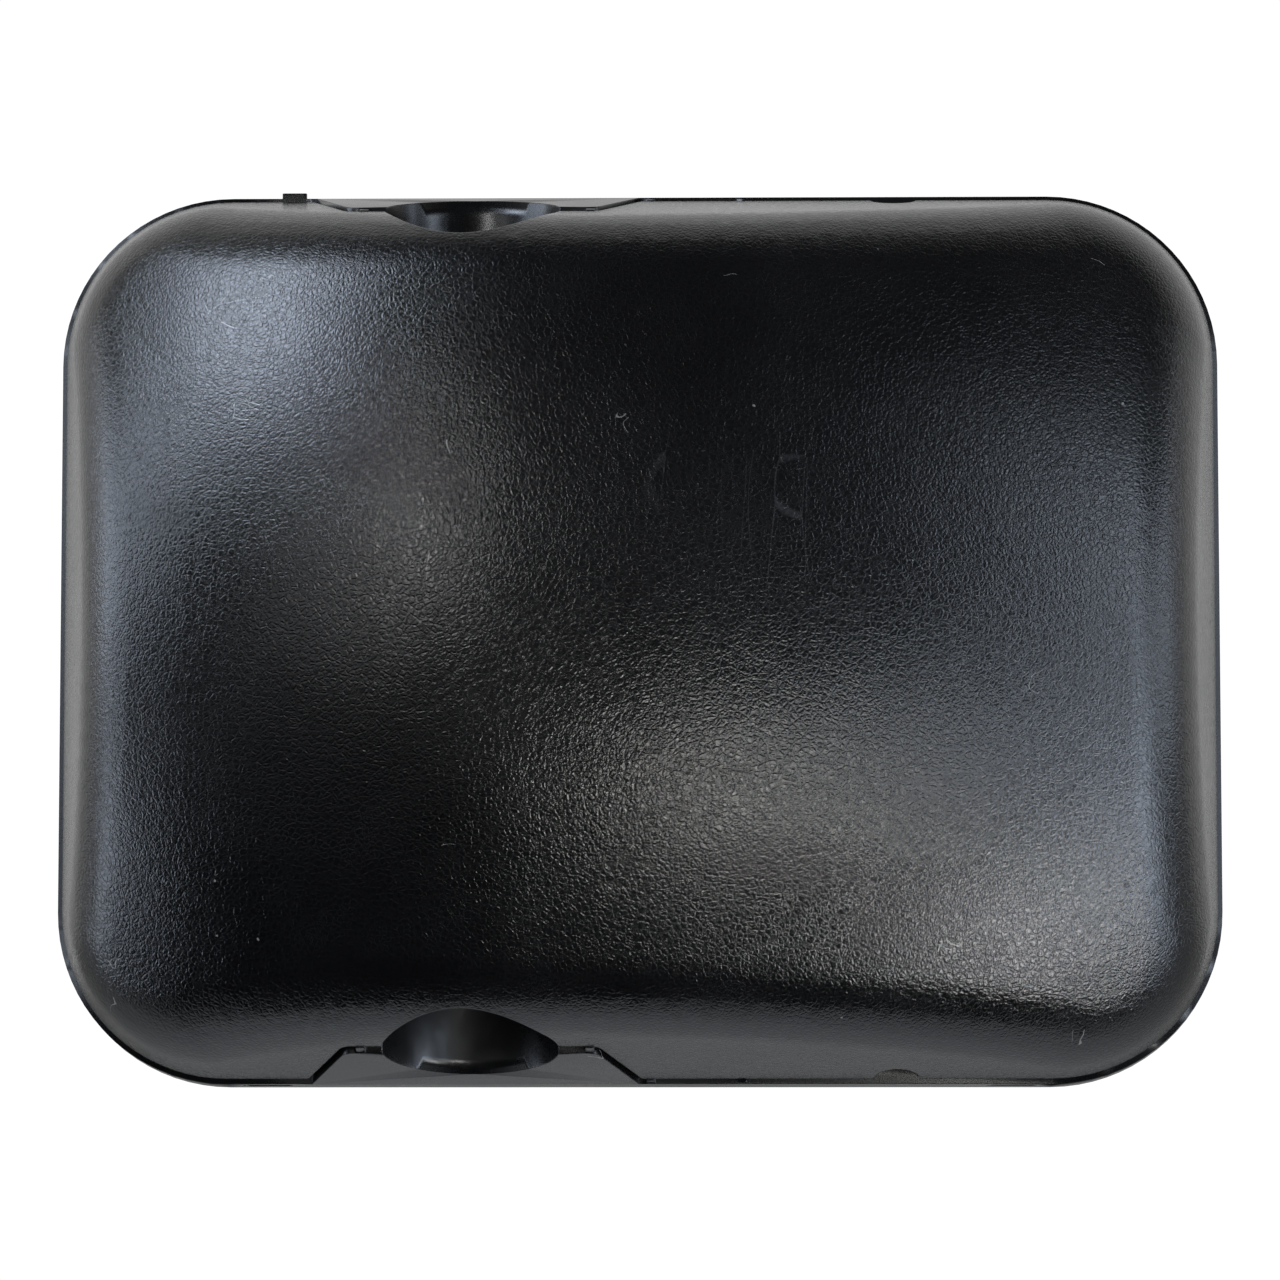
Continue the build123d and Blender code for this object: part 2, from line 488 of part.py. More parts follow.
with BuildPart() as front_frame:
    with BuildSketch(rear_plane(RIM_FRONT_Y)):
        outline(0)
    extrude(amount=LIP_DEPTH, taper=LIP_DRAFT)
    fillet(front_frame.faces().sort_by(Axis.Y)[-1].edges(), RIM_EDGE_RADIUS)
    with BuildSketch(rear_plane(RIM_FRONT_Y)):
        outline(RIM_WALL)
    extrude(amount=RIM_FRONT_Y - POCKET_FLOOR_Y, mode=Mode.SUBTRACT)
    add(bridges.part)
    add(tongue.part)
    # Ribs and bosses on the floor's rear
    with BuildSketch(rear_plane(FLOOR_REAR_Y)):
        for x in FLOOR_RIB_XS:
            with Locations((x, 0)):
                Rectangle(FLOOR_RIB_WALL, 2 * rib_half_length)
        for z in (-FLOOR_RIB_Z, FLOOR_RIB_Z):
            with Locations(((rib_left_x - FLOOR_RIB_INNER_X) / 2, z)):
                Rectangle(-FLOOR_RIB_INNER_X - rib_left_x, FLOOR_RIB_WALL)
            with Locations(((rib_right_x + FLOOR_RIB_INNER_X) / 2, z)):
                Rectangle(rib_right_x - FLOOR_RIB_INNER_X, FLOOR_RIB_WALL)
    extrude(amount=FLOOR_RIB_HEIGHT)
    with BuildSketch(rear_plane(FLOOR_REAR_Y)):
        with GridLocations(INSERT_SPACING_X, INSERT_SPACING_Z, 2, 2):
            Circle(BOSS_RADIUS)
    extrude(amount=BOSS_HEIGHT - BOSS_CLEARANCE)
    with BuildSketch(Plane.XY):
        Ellipse(TUBE_HOLE_RADIUS, TROUGH_DEPTH)
    extrude(amount=REACH, both=True, mode=Mode.SUBTRACT)
    add(troughs.part)
    add(nibs.part)
    # Window for the clamp saddle, insert holes, plate screw holes and drains
    with BuildSketch(rear_plane(POCKET_FLOOR_Y)):
        Rectangle(SEAT_LENGTH + 2 * KEY_CLEARANCE, SADDLE_KEY_HEIGHT + 2 * KEY_CLEARANCE)
        with Locations(*plate_screw_places()):
            Circle(PLATE_SCREW_RADIUS + BOLT_HOLE_CLEARANCE)
    extrude(amount=POCKET_FLOOR_Y - FLOOR_REAR_Y, mode=Mode.SUBTRACT)
    with BuildSketch(rear_plane(EAR_FRONT_Y)):
        with GridLocations(INSERT_SPACING_X, INSERT_SPACING_Z, 2, 2):
            Circle(INSERT_RADIUS)
    extrude(amount=-INSERT_LENGTH - 2 * BOSS_CLEARANCE, mode=Mode.SUBTRACT)
    with BuildSketch(Plane.XY.offset(-HEAD_HEIGHT / 2)):
        with Locations((HEAD_CENTRE_X, POCKET_FLOOR_Y + DRAIN_DEPTH / 2)):
            with GridLocations(2 * DRAIN_SPREAD, 1, 2, 1):
                SlotOverall(DRAIN_WIDTH, DRAIN_DEPTH)
    extrude(amount=3 * RIM_WALL, mode=Mode.SUBTRACT)
    # Release tab on the top of the rim
    with BuildSketch(Plane.XY.offset(HEAD_HEIGHT / 2 - 2 * RELEASE_TAB_HEIGHT)):
        with Locations((RELEASE_TAB_X, (PARTING_Y + POCKET_FLOOR_Y) / 2)):
            RectangleRounded(RELEASE_TAB_WIDTH, POCKET_FLOOR_Y - PARTING_Y, RELEASE_TAB_HEIGHT)
    extrude(amount=3 * RELEASE_TAB_HEIGHT)
finish(front_frame.part, "front_frame")

with BuildPart() as threaded_inserts:
    with BuildSketch(rear_plane(EAR_FRONT_Y + BOSS_CLEARANCE)):
        with GridLocations(INSERT_SPACING_X, INSERT_SPACING_Z, 2, 2):
            Circle(INSERT_RADIUS)
            Circle(SADDLE_SCREW_RADIUS + THREAD_CLEARANCE, mode=Mode.SUBTRACT)
    extrude(amount=-INSERT_LENGTH)
finish(threaded_inserts.part, "threaded_inserts")


# ---- Split sleeve that lines the clamp on the tube ----
with BuildPart() as sleeve:
    with BuildSketch(Plane.XY.offset(-SLEEVE_END_Z)):
        Circle(SLEEVE_RADIUS)
    extrude(amount=2 * SLEEVE_END_Z)
    for z in (SLEEVE_FLANGE_Z, -SLEEVE_END_Z):
        with BuildSketch(Plane.XY.offset(z)):
            Circle(SLEEVE_FLANGE_RADIUS)
        extrude(amount=SLEEVE_FLANGE_THICKNESS)
    with BuildSketch(Plane.XY.offset(-SLEEVE_END_Z)):
        Circle(SLEEVE_BORE)
    extrude(amount=2 * SLEEVE_END_Z, mode=Mode.SUBTRACT)
finish(split_half(sleeve.part, Keep.TOP), "sleeve_half_front")
finish(split_half(sleeve.part, Keep.BOTTOM), "sleeve_half_rear")


# ---- Split barrel that turns on the sleeve and tilts in the clamp ----
with BuildPart() as barrel:
    with BuildSketch(Plane.YZ.offset(-BARREL_LENGTH / 2)):
        Circle(BARREL_RADIUS)
        Rectangle(2 * BARREL_RADIUS, 2 * BARREL_FLAT_Z, mode=Mode.INTERSECT)
    extrude(amount=BARREL_LENGTH)
    with BuildSketch(Plane.XY):
        Circle(BARREL_BORE)
    extrude(amount=REACH, both=True, mode=Mode.SUBTRACT)
    with BuildSketch(rear_plane(-DOWEL_LENGTH / 2 - DOWEL_CLEARANCE)):
        with GridLocations(2 * DOWEL_X, 2 * DOWEL_Z, 2, 2):
            Circle(DOWEL_RADIUS + DOWEL_CLEARANCE)
    extrude(amount=-DOWEL_LENGTH - 2 * DOWEL_CLEARANCE, mode=Mode.SUBTRACT)
finish(split_half(barrel.part, Keep.TOP), "barrel_half_front")
finish(split_half(barrel.part, Keep.BOTTOM), "barrel_half_rear")

with BuildPart() as barrel_dowels:
    with BuildSketch(rear_plane(-DOWEL_LENGTH / 2)):
        with GridLocations(2 * DOWEL_X, 2 * DOWEL_Z, 2, 2):
            Circle(DOWEL_RADIUS)
    extrude(amount=-DOWEL_LENGTH)
finish(barrel_dowels.part, "barrel_dowels")


# ---- Clamp saddle: die-cast, keyed into the frame's floor ----
bolt_hole = BOLT_RADIUS + BOLT_HOLE_CLEARANCE
nut_pocket_radius = NUT_ACROSS / 2 + NUT_POCKET_CLEARANCE
nut_pocket_y = NUT_FRONT_Y - NUT_HEIGHT

with BuildPart() as clamp_saddle:
    with BuildSketch(rear_plane(SADDLE_FRONT_Y)):
        Rectangle(CLAMP_WIDTH, SADDLE_HEIGHT)
    extrude(amount=SADDLE_FRONT_Y - SADDLE_REAR_Y)
    fillet(clamp_saddle.edges().filter_by(Axis.Y), CLAMP_EDGE_RADIUS)
    with BuildSketch(rear_plane(SADDLE_KEY_FRONT_Y)):
        Rectangle(SEAT_LENGTH, SADDLE_KEY_HEIGHT)
    extrude(amount=SADDLE_KEY_FRONT_Y - SADDLE_FRONT_Y)
    with BuildSketch(rear_plane(EAR_FRONT_Y)):
        with Locations((-EAR_X, 0), (EAR_X, 0)):
            RectangleRounded(EAR_WIDTH, EAR_HEIGHT, EAR_WIDTH / 2.5)
    extrude(amount=EAR_THICKNESS)
    with BuildSketch(Plane.YZ.offset(-SEAT_LENGTH / 2)):
        Circle(SEAT_RADIUS)
    extrude(amount=SEAT_LENGTH, mode=Mode.SUBTRACT)
    with BuildSketch(Plane.XY):
        Circle(TUBE_WAY_RADIUS)
    extrude(amount=REACH, both=True, mode=Mode.SUBTRACT)
    with BuildSketch(rear_plane(SADDLE_FRONT_Y)):
        with GridLocations(CLAMP_BOLT_SPACING_X, CLAMP_BOLT_SPACING_Z, 2, 2):
            Circle(bolt_hole)
        with GridLocations(INSERT_SPACING_X, INSERT_SPACING_Z, 2, 2):
            Circle(SADDLE_SCREW_RADIUS + BOLT_HOLE_CLEARANCE)
    extrude(amount=SADDLE_FRONT_Y, mode=Mode.SUBTRACT)
    with BuildSketch(rear_plane(SADDLE_FRONT_Y)):
        with GridLocations(CLAMP_BOLT_SPACING_X, CLAMP_BOLT_SPACING_Z, 2, 2):
            RegularPolygon(nut_pocket_radius, 6, major_radius=False)
    extrude(amount=SADDLE_FRONT_Y - nut_pocket_y, mode=Mode.SUBTRACT)
finish(clamp_saddle.part, "clamp_saddle")


# ---- Clamp yoke: the rear half, an arch over the barrel with four bolt pads ----
with BuildPart() as clamp_yoke:
    with BuildSketch(Plane.YZ.offset(-SEAT_LENGTH / 2)):
        Circle(SEAT_RADIUS + YOKE_WALL)
        with Locations((YOKE_FRONT_Y - SEAT_RADIUS - YOKE_WALL, 0)):
            Rectangle(2 * (SEAT_RADIUS + YOKE_WALL), YOKE_HEIGHT, mode=Mode.INTERSECT)
    extrude(amount=SEAT_LENGTH)
    with BuildSketch(rear_plane(YOKE_FRONT_Y)):
        Rectangle(CLAMP_WIDTH, YOKE_HEIGHT)
    extrude(amount=YOKE_PAD_THICKNESS)
    # Two ribs tie the pads to the arch on each side.
    with BuildSketch(Plane.XY.offset(-YOKE_RIB_WALL / 2)):
        with BuildLine():
            Polyline(
                (-CLAMP_WIDTH / 2, YOKE_FRONT_Y - YOKE_PAD_THICKNESS / 2),
                (-CLAMP_WIDTH / 2, YOKE_PAD_REAR_Y),
                (-SEAT_LENGTH / 2, -SEAT_RADIUS - YOKE_WALL / 2),
                (SEAT_LENGTH / 2, -SEAT_RADIUS - YOKE_WALL / 2),
                (CLAMP_WIDTH / 2, YOKE_PAD_REAR_Y),
                (CLAMP_WIDTH / 2, YOKE_FRONT_Y - YOKE_PAD_THICKNESS / 2),
                close=True,
            )
        make_face()
    extrude(amount=YOKE_RIB_WALL)
    with BuildSketch(Plane.YZ.offset(-SEAT_LENGTH / 2)):
        Circle(SEAT_RADIUS)
    extrude(amount=SEAT_LENGTH, mode=Mode.SUBTRACT)
    with BuildSketch(Plane.XY):
        Circle(TUBE_WAY_RADIUS)
    extrude(amount=REACH, both=True, mode=Mode.SUBTRACT)
    with BuildSketch(rear_plane(YOKE_FRONT_Y)):
        with GridLocations(CLAMP_BOLT_SPACING_X, CLAMP_BOLT_SPACING_Z, 2, 2):
            Circle(bolt_hole)
    extrude(amount=YOKE_PAD_THICKNESS, mode=Mode.SUBTRACT)
    fillet(clamp_yoke.edges().filter_by(Axis.Y).group_by(Axis.X)[0], CLAMP_EDGE_RADIUS)
    fillet(clamp_yoke.edges().filter_by(Axis.Y).group_by(Axis.X)[-1], CLAMP_EDGE_RADIUS)
finish(clamp_yoke.part, "clamp_yoke")


# ---- Clamp bolts, washers and nuts ----
with BuildPart() as clamp_bolts:
    with BuildSketch(rear_plane(BOLT_SEAT_Y)):
        with GridLocations(CLAMP_BOLT_SPACING_X, CLAMP_BOLT_SPACING_Z, 2, 2):
            Circle(BOLT_HEAD_RADIUS)
    extrude(amount=BOLT_HEAD_HEIGHT)
    fillet(clamp_bolts.faces().group_by(Axis.Y)[0].edges(), BOLT_HEAD_RADIUS / 10)
    with BuildSketch(rear_plane(BOLT_SEAT_Y)):
        with GridLocations(CLAMP_BOLT_SPACING_X, CLAMP_BOLT_SPACING_Z, 2, 2):
            Circle(BOLT_RADIUS)
    extrude(amount=-BOLT_LENGTH)
    with BuildSketch(rear_plane(BOLT_SEAT_Y - BOLT_HEAD_HEIGHT)):
        with GridLocations(CLAMP_BOLT_SPACING_X, CLAMP_BOLT_SPACING_Z, 2, 2):
            RegularPolygon(BOLT_SOCKET_ACROSS / 2, 6, major_radius=False)
    extrude(amount=-BOLT_SOCKET_DEPTH, mode=Mode.SUBTRACT)
finish(clamp_bolts.part, "clamp_bolts")

with BuildPart() as clamp_washers:
    with BuildSketch(rear_plane(YOKE_PAD_REAR_Y)):
        with GridLocations(CLAMP_BOLT_SPACING_X, CLAMP_BOLT_SPACING_Z, 2, 2):
            Circle(WASHER_RADIUS)
            Circle(bolt_hole, mode=Mode.SUBTRACT)
    extrude(amount=WASHER_THICKNESS)
finish(clamp_washers.part, "clamp_washers")

with BuildPart() as clamp_spring_washers:
    with BuildSketch(rear_plane(WASHER_REAR_Y)):
        with GridLocations(CLAMP_BOLT_SPACING_X, CLAMP_BOLT_SPACING_Z, 2, 2):
            Circle(SPRING_WASHER_RADIUS)
            Circle(bolt_hole, mode=Mode.SUBTRACT)
            with Locations((0, SPRING_WASHER_RADIUS / 2)):
                Rectangle(SPRING_WASHER_SLIT, SPRING_WASHER_RADIUS, mode=Mode.SUBTRACT)
    extrude(amount=SPRING_WASHER_THICKNESS)
finish(clamp_spring_washers.part, "clamp_spring_washers")

with BuildPart() as clamp_nuts:
    with BuildSketch(rear_plane(NUT_FRONT_Y)):
        with GridLocations(CLAMP_BOLT_SPACING_X, CLAMP_BOLT_SPACING_Z, 2, 2):
            RegularPolygon(NUT_ACROSS / 2, 6, major_radius=False)
            Circle(BOLT_RADIUS + THREAD_CLEARANCE, mode=Mode.SUBTRACT)
    extrude(amount=NUT_HEIGHT)
finish(clamp_nuts.part, "clamp_nuts")


# ---- Cross-recess screws for the saddle's ears and for the glass plate ----
def cross_screws(seat_y, places, radius, length, head_radius, head_height):
    """Pan-head screws driven from the rear at the given places, heads resting at seat_y."""
    with BuildPart() as screws:
        with BuildSketch(rear_plane(seat_y)):
            with Locations(*places):
                Circle(head_radius)
        extrude(amount=head_height)
        fillet(screws.faces().group_by(Axis.Y)[0].edges(), head_height / 2)
        with BuildSketch(rear_plane(seat_y)):
            with Locations(*places):
                Circle(radius)
        extrude(amount=-length)
        with BuildSketch(rear_plane(seat_y - head_height)):
            with Locations(*places):
                Rectangle(CROSS_RECESS_WIDTH, head_radius)
                Rectangle(head_radius, CROSS_RECESS_WIDTH)
        extrude(amount=-CROSS_RECESS_DEPTH, mode=Mode.SUBTRACT)
    return screws.part


insert_places = [(sx * EAR_X, sz * INSERT_SPACING_Z / 2) for sx in (-1, 1) for sz in (-1, 1)]
saddle_screws = cross_screws(
    EAR_REAR_Y,
    insert_places,
    SADDLE_SCREW_RADIUS,
    SADDLE_SCREW_LENGTH,
    SADDLE_SCREW_HEAD_RADIUS,
    SADDLE_SCREW_HEAD_HEIGHT,
)
finish(saddle_screws, "saddle_screws")

plate_screws = cross_screws(
    FLOOR_REAR_Y,
    plate_screw_places(),
    PLATE_SCREW_RADIUS,
    PLATE_SCREW_LENGTH,
    PLATE_SCREW_HEAD_RADIUS,
    PLATE_SCREW_HEAD_HEIGHT,
)
finish(plate_screws, "plate_screws")


# ---- Glass pack: backing plate, adhesive pad, convex glass and edge gasket ----
plate_block = glass_block(GLASS_INSET, PLATE_FRONT_RADIUS)
pad_block = glass_block(GLASS_INSET + PAD_INSET, PAD_FRONT_RADIUS)
hollow_block = glass_block(GLASS_INSET + PLATE_WALL, PLATE_REAR_RADIUS)
glass_block_full = glass_block(GLASS_INSET, GLASS_RADIUS)
gasket_block = glass_block(RIM_WALL + POCKET_CLEARANCE, GLASS_RADIUS + GASKET_LIP_THICKNESS)
gasket_mouth = glass_block(GLASS_INSET + GASKET_LIP, GLASS_RADIUS + GASKET_WALL)

with BuildPart() as plate_hollow:
    add(hollow_block)
    with BuildSketch(rear_plane(PLATE_SEAT_Y)):
        with Locations(*plate_screw_places()):
            Circle(PLATE_BOSS_RADIUS)
        with Locations((HEAD_CENTRE_X, 0)):
            with GridLocations(PLATE_RIB_PITCH, 1, 4, 1):
                Rectangle(PLATE_RIB_WALL, HEAD_HEIGHT)
            with GridLocations(1, PLATE_RIB_PITCH, 1, 3):
                Rectangle(HEAD_WIDTH, PLATE_RIB_WALL)
    extrude(amount=-REACH, mode=Mode.SUBTRACT)

with BuildPart() as glass_backing_plate:
    add(plate_block)
    add(plate_hollow.part, mode=Mode.SUBTRACT)
    with BuildSketch(rear_plane(PLATE_SEAT_Y)):
        with Locations(*plate_screw_places()):
            Circle(PLATE_SCREW_RADIUS + THREAD_CLEARANCE)
    extrude(amount=PLATE_SEAT_Y - FLOOR_REAR_Y - PLATE_SCREW_LENGTH - 2 * SEAT_CLEARANCE, mode=Mode.SUBTRACT)
finish(glass_backing_plate.part, "glass_backing_plate")

with BuildPart() as adhesive_pad:
    add(pad_block)
    with Locations((HEAD_CENTRE_X, GLASS_APEX_Y - GLASS_RADIUS, 0)):
        Sphere(PLATE_FRONT_RADIUS, mode=Mode.SUBTRACT)
finish(adhesive_pad.part, "adhesive_pad")

with BuildPart() as mirror_glass:
    add(glass_block_full)
    with Locations((HEAD_CENTRE_X, GLASS_APEX_Y - GLASS_RADIUS, 0)):
        Sphere(PAD_FRONT_RADIUS, mode=Mode.SUBTRACT)
finish(mirror_glass.part, "mirror_glass")

with BuildPart() as edge_gasket:
    add(gasket_block)
    add(glass_block_full, mode=Mode.SUBTRACT)
    add(gasket_mouth, mode=Mode.SUBTRACT)
finish(edge_gasket.part, "edge_gasket")

print(len(FINISHED), "pieces:", ", ".join(FINISHED))
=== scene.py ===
"""Looks of a rear-view mirror head: a grained rear cover on a shallow front frame, clamped on a tube.

Everything is in metres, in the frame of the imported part: +Z up along the tube, +Y out of the glass.
"""

import json
import logging
from dataclasses import dataclass, field
from enum import Enum
from math import cos, pi, radians, sin
from typing import Any

import bmesh
import bpy
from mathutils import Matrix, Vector

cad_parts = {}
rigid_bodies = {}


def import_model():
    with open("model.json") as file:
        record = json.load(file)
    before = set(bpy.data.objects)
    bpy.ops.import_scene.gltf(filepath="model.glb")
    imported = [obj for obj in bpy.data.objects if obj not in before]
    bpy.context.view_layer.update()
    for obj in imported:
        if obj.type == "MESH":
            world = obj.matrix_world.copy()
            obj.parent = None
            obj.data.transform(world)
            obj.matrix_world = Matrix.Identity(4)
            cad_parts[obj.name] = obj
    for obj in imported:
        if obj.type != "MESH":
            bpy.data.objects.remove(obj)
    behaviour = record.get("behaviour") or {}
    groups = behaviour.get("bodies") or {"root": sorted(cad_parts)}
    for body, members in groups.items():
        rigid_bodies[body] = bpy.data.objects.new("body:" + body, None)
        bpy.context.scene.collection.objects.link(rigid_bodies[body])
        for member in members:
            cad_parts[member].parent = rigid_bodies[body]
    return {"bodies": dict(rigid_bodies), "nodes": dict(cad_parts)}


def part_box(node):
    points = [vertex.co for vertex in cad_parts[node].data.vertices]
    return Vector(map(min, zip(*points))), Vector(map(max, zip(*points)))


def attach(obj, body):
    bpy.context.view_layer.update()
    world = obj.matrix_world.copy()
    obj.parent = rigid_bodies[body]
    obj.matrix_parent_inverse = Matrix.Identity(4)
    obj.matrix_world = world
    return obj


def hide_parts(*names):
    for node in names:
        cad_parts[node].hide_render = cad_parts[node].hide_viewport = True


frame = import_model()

LOG = logging.getLogger("mirror_head")
MM = 0.001
Colour = tuple[float, float, float]
Socket = bpy.types.NodeSocket


class Kind(Enum):
    """Kinds of socket on a node group."""

    FLOAT = "NodeSocketFloat"
    INT = "NodeSocketInt"
    BOOL = "NodeSocketBool"
    VECTOR = "NodeSocketVector"
    MATERIAL = "NodeSocketMaterial"
    GEOMETRY = "NodeSocketGeometry"


class Grain(Enum):
    """The surface a piece was moulded, cast or machined with."""

    LEATHER = "leather_grain"
    MOULDED = "moulded_skin"
    CAST = "cast_skin"
    TURNED = "turned_skin"
    FOAM = "foam_skin"


class Body(Enum):
    """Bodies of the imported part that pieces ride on."""

    SLEEVE = "tube_sleeve"
    BARREL = "tilt_barrel"
    HEAD = "head"
    COVER = "cover"


# ---- Node trees ----
@dataclass
class Tree:
    """Adds nodes to one node tree and joins them.

    Attributes:
        tree: The node tree that is being built.
    """

    tree: bpy.types.NodeTree

    def add(self, kind: str, inputs: dict[str | int, Any] | None = None, **settings: Any) -> bpy.types.Node:
        """Adds a node.

        Args:
            kind: Blender's type name of the node.
            inputs: Value or socket for each input, by name or index.
            **settings: Properties set on the node before its inputs.

        Returns:
            The new node.
        """
        node = self.tree.nodes.new(kind)
        for name, value in settings.items():
            setattr(node, name, value)
        for name, value in (inputs or {}).items():
            self.put(value, node.inputs[name])
        return node

    def put(self, value: Any, socket: Socket) -> None:
        """Links value to an input if it is a socket, and sets it there if it is plain."""
        if isinstance(value, bpy.types.NodeSocket):
            self.tree.links.new(value, socket)
        else:
            socket.default_value = value

    def math(self, operation: str, *values: Any, clamp: bool = False) -> Socket:
        """Adds a Math node.

        Args:
            operation: Name of the operation.
            *values: Up to three numbers or sockets.
            clamp: Whether the result is held between 0 and 1.

        Returns:
            The node's output.
        """
        inputs = dict(enumerate(values))
        return self.add("ShaderNodeMath", inputs, operation=operation, use_clamp=clamp).outputs[0]

    def vector(self, operation: str, *values: Any, scale: Any = None) -> bpy.types.Node:
        """Adds a Vector Math node.

        Args:
            operation: Name of the operation.
            *values: Vectors or sockets.
            scale: Number or socket for the SCALE operation.

        Returns:
            The node.
        """
        inputs: dict[str | int, Any] = dict(enumerate(values))
        if scale is not None:
            inputs["Scale"] = scale
        return self.add("ShaderNodeVectorMath", inputs, operation=operation)

    def ramp(self, value: Any, low: Any, high: Any, to_low: Any = 0.0, to_high: Any = 1.0) -> Socket:
        """Maps value smoothly from one range to another.

        Args:
            value: Number or socket to map.
            low: Value that gives to_low.
            high: Value that gives to_high.
            to_low: Result at low and below.
            to_high: Result at high and above.

        Returns:
            The mapped value.
        """
        inputs = {0: value, 1: low, 2: high, 3: to_low, 4: to_high}
        return self.add("ShaderNodeMapRange", inputs, interpolation_type="SMOOTHSTEP").outputs[0]

    def mix(self, factor: Any, first: Any, second: Any) -> Socket:
        """Mixes two colours by a factor and gives the result."""
        node = self.add("ShaderNodeMix", {0: factor}, data_type="RGBA")
        self.put(first, node.inputs[6])
        self.put(second, node.inputs[7])
        return node.outputs[2]

    def place(self) -> Socket:
        """Object coordinates."""
        return self.add("ShaderNodeTexCoord").outputs["Object"]

    def noise(self, place: Socket, scale: Any, detail: float = 2.0) -> Socket:
        """Adds a noise of a scale per metre and gives its value."""
        inputs = {"Vector": place, "Scale": scale, "Detail": detail}
        return self.add("ShaderNodeTexNoise", inputs).outputs[0]

    def cells(self, place: Socket, scale: Any) -> Socket:
        """Adds cells of a scale per metre and gives the distance to their borders."""
        inputs = {"Vector": place, "Scale": scale}
        made = self.add("ShaderNodeTexVoronoi", inputs, feature="DISTANCE_TO_EDGE")
        return made.outputs["Distance"]

    def times(self, *values: Any, clamp: bool = False) -> Socket:
        """Multiplies two values and gives the result."""
        return self.math("MULTIPLY", *values, clamp=clamp)

    def socket(self, name: str, kind: Kind, default: Any = None, out: bool = False) -> str:
        """Adds a named socket to the group's interface.

        Args:
            name: Its name.
            kind: Its kind.
            default: Its default value, if it has one.
            out: Whether it is an output.

        Returns:
            The socket's identifier.
        """
        side = "OUTPUT" if out else "INPUT"
        made = self.tree.interface.new_socket(name=name, in_out=side, socket_type=kind.value)
        if default is not None:
            made.default_value = default
        return made.identifier


def rgba(colour: Colour) -> tuple[float, float, float, float]:
    """A colour with full alpha."""
    return (*colour, 1.0)


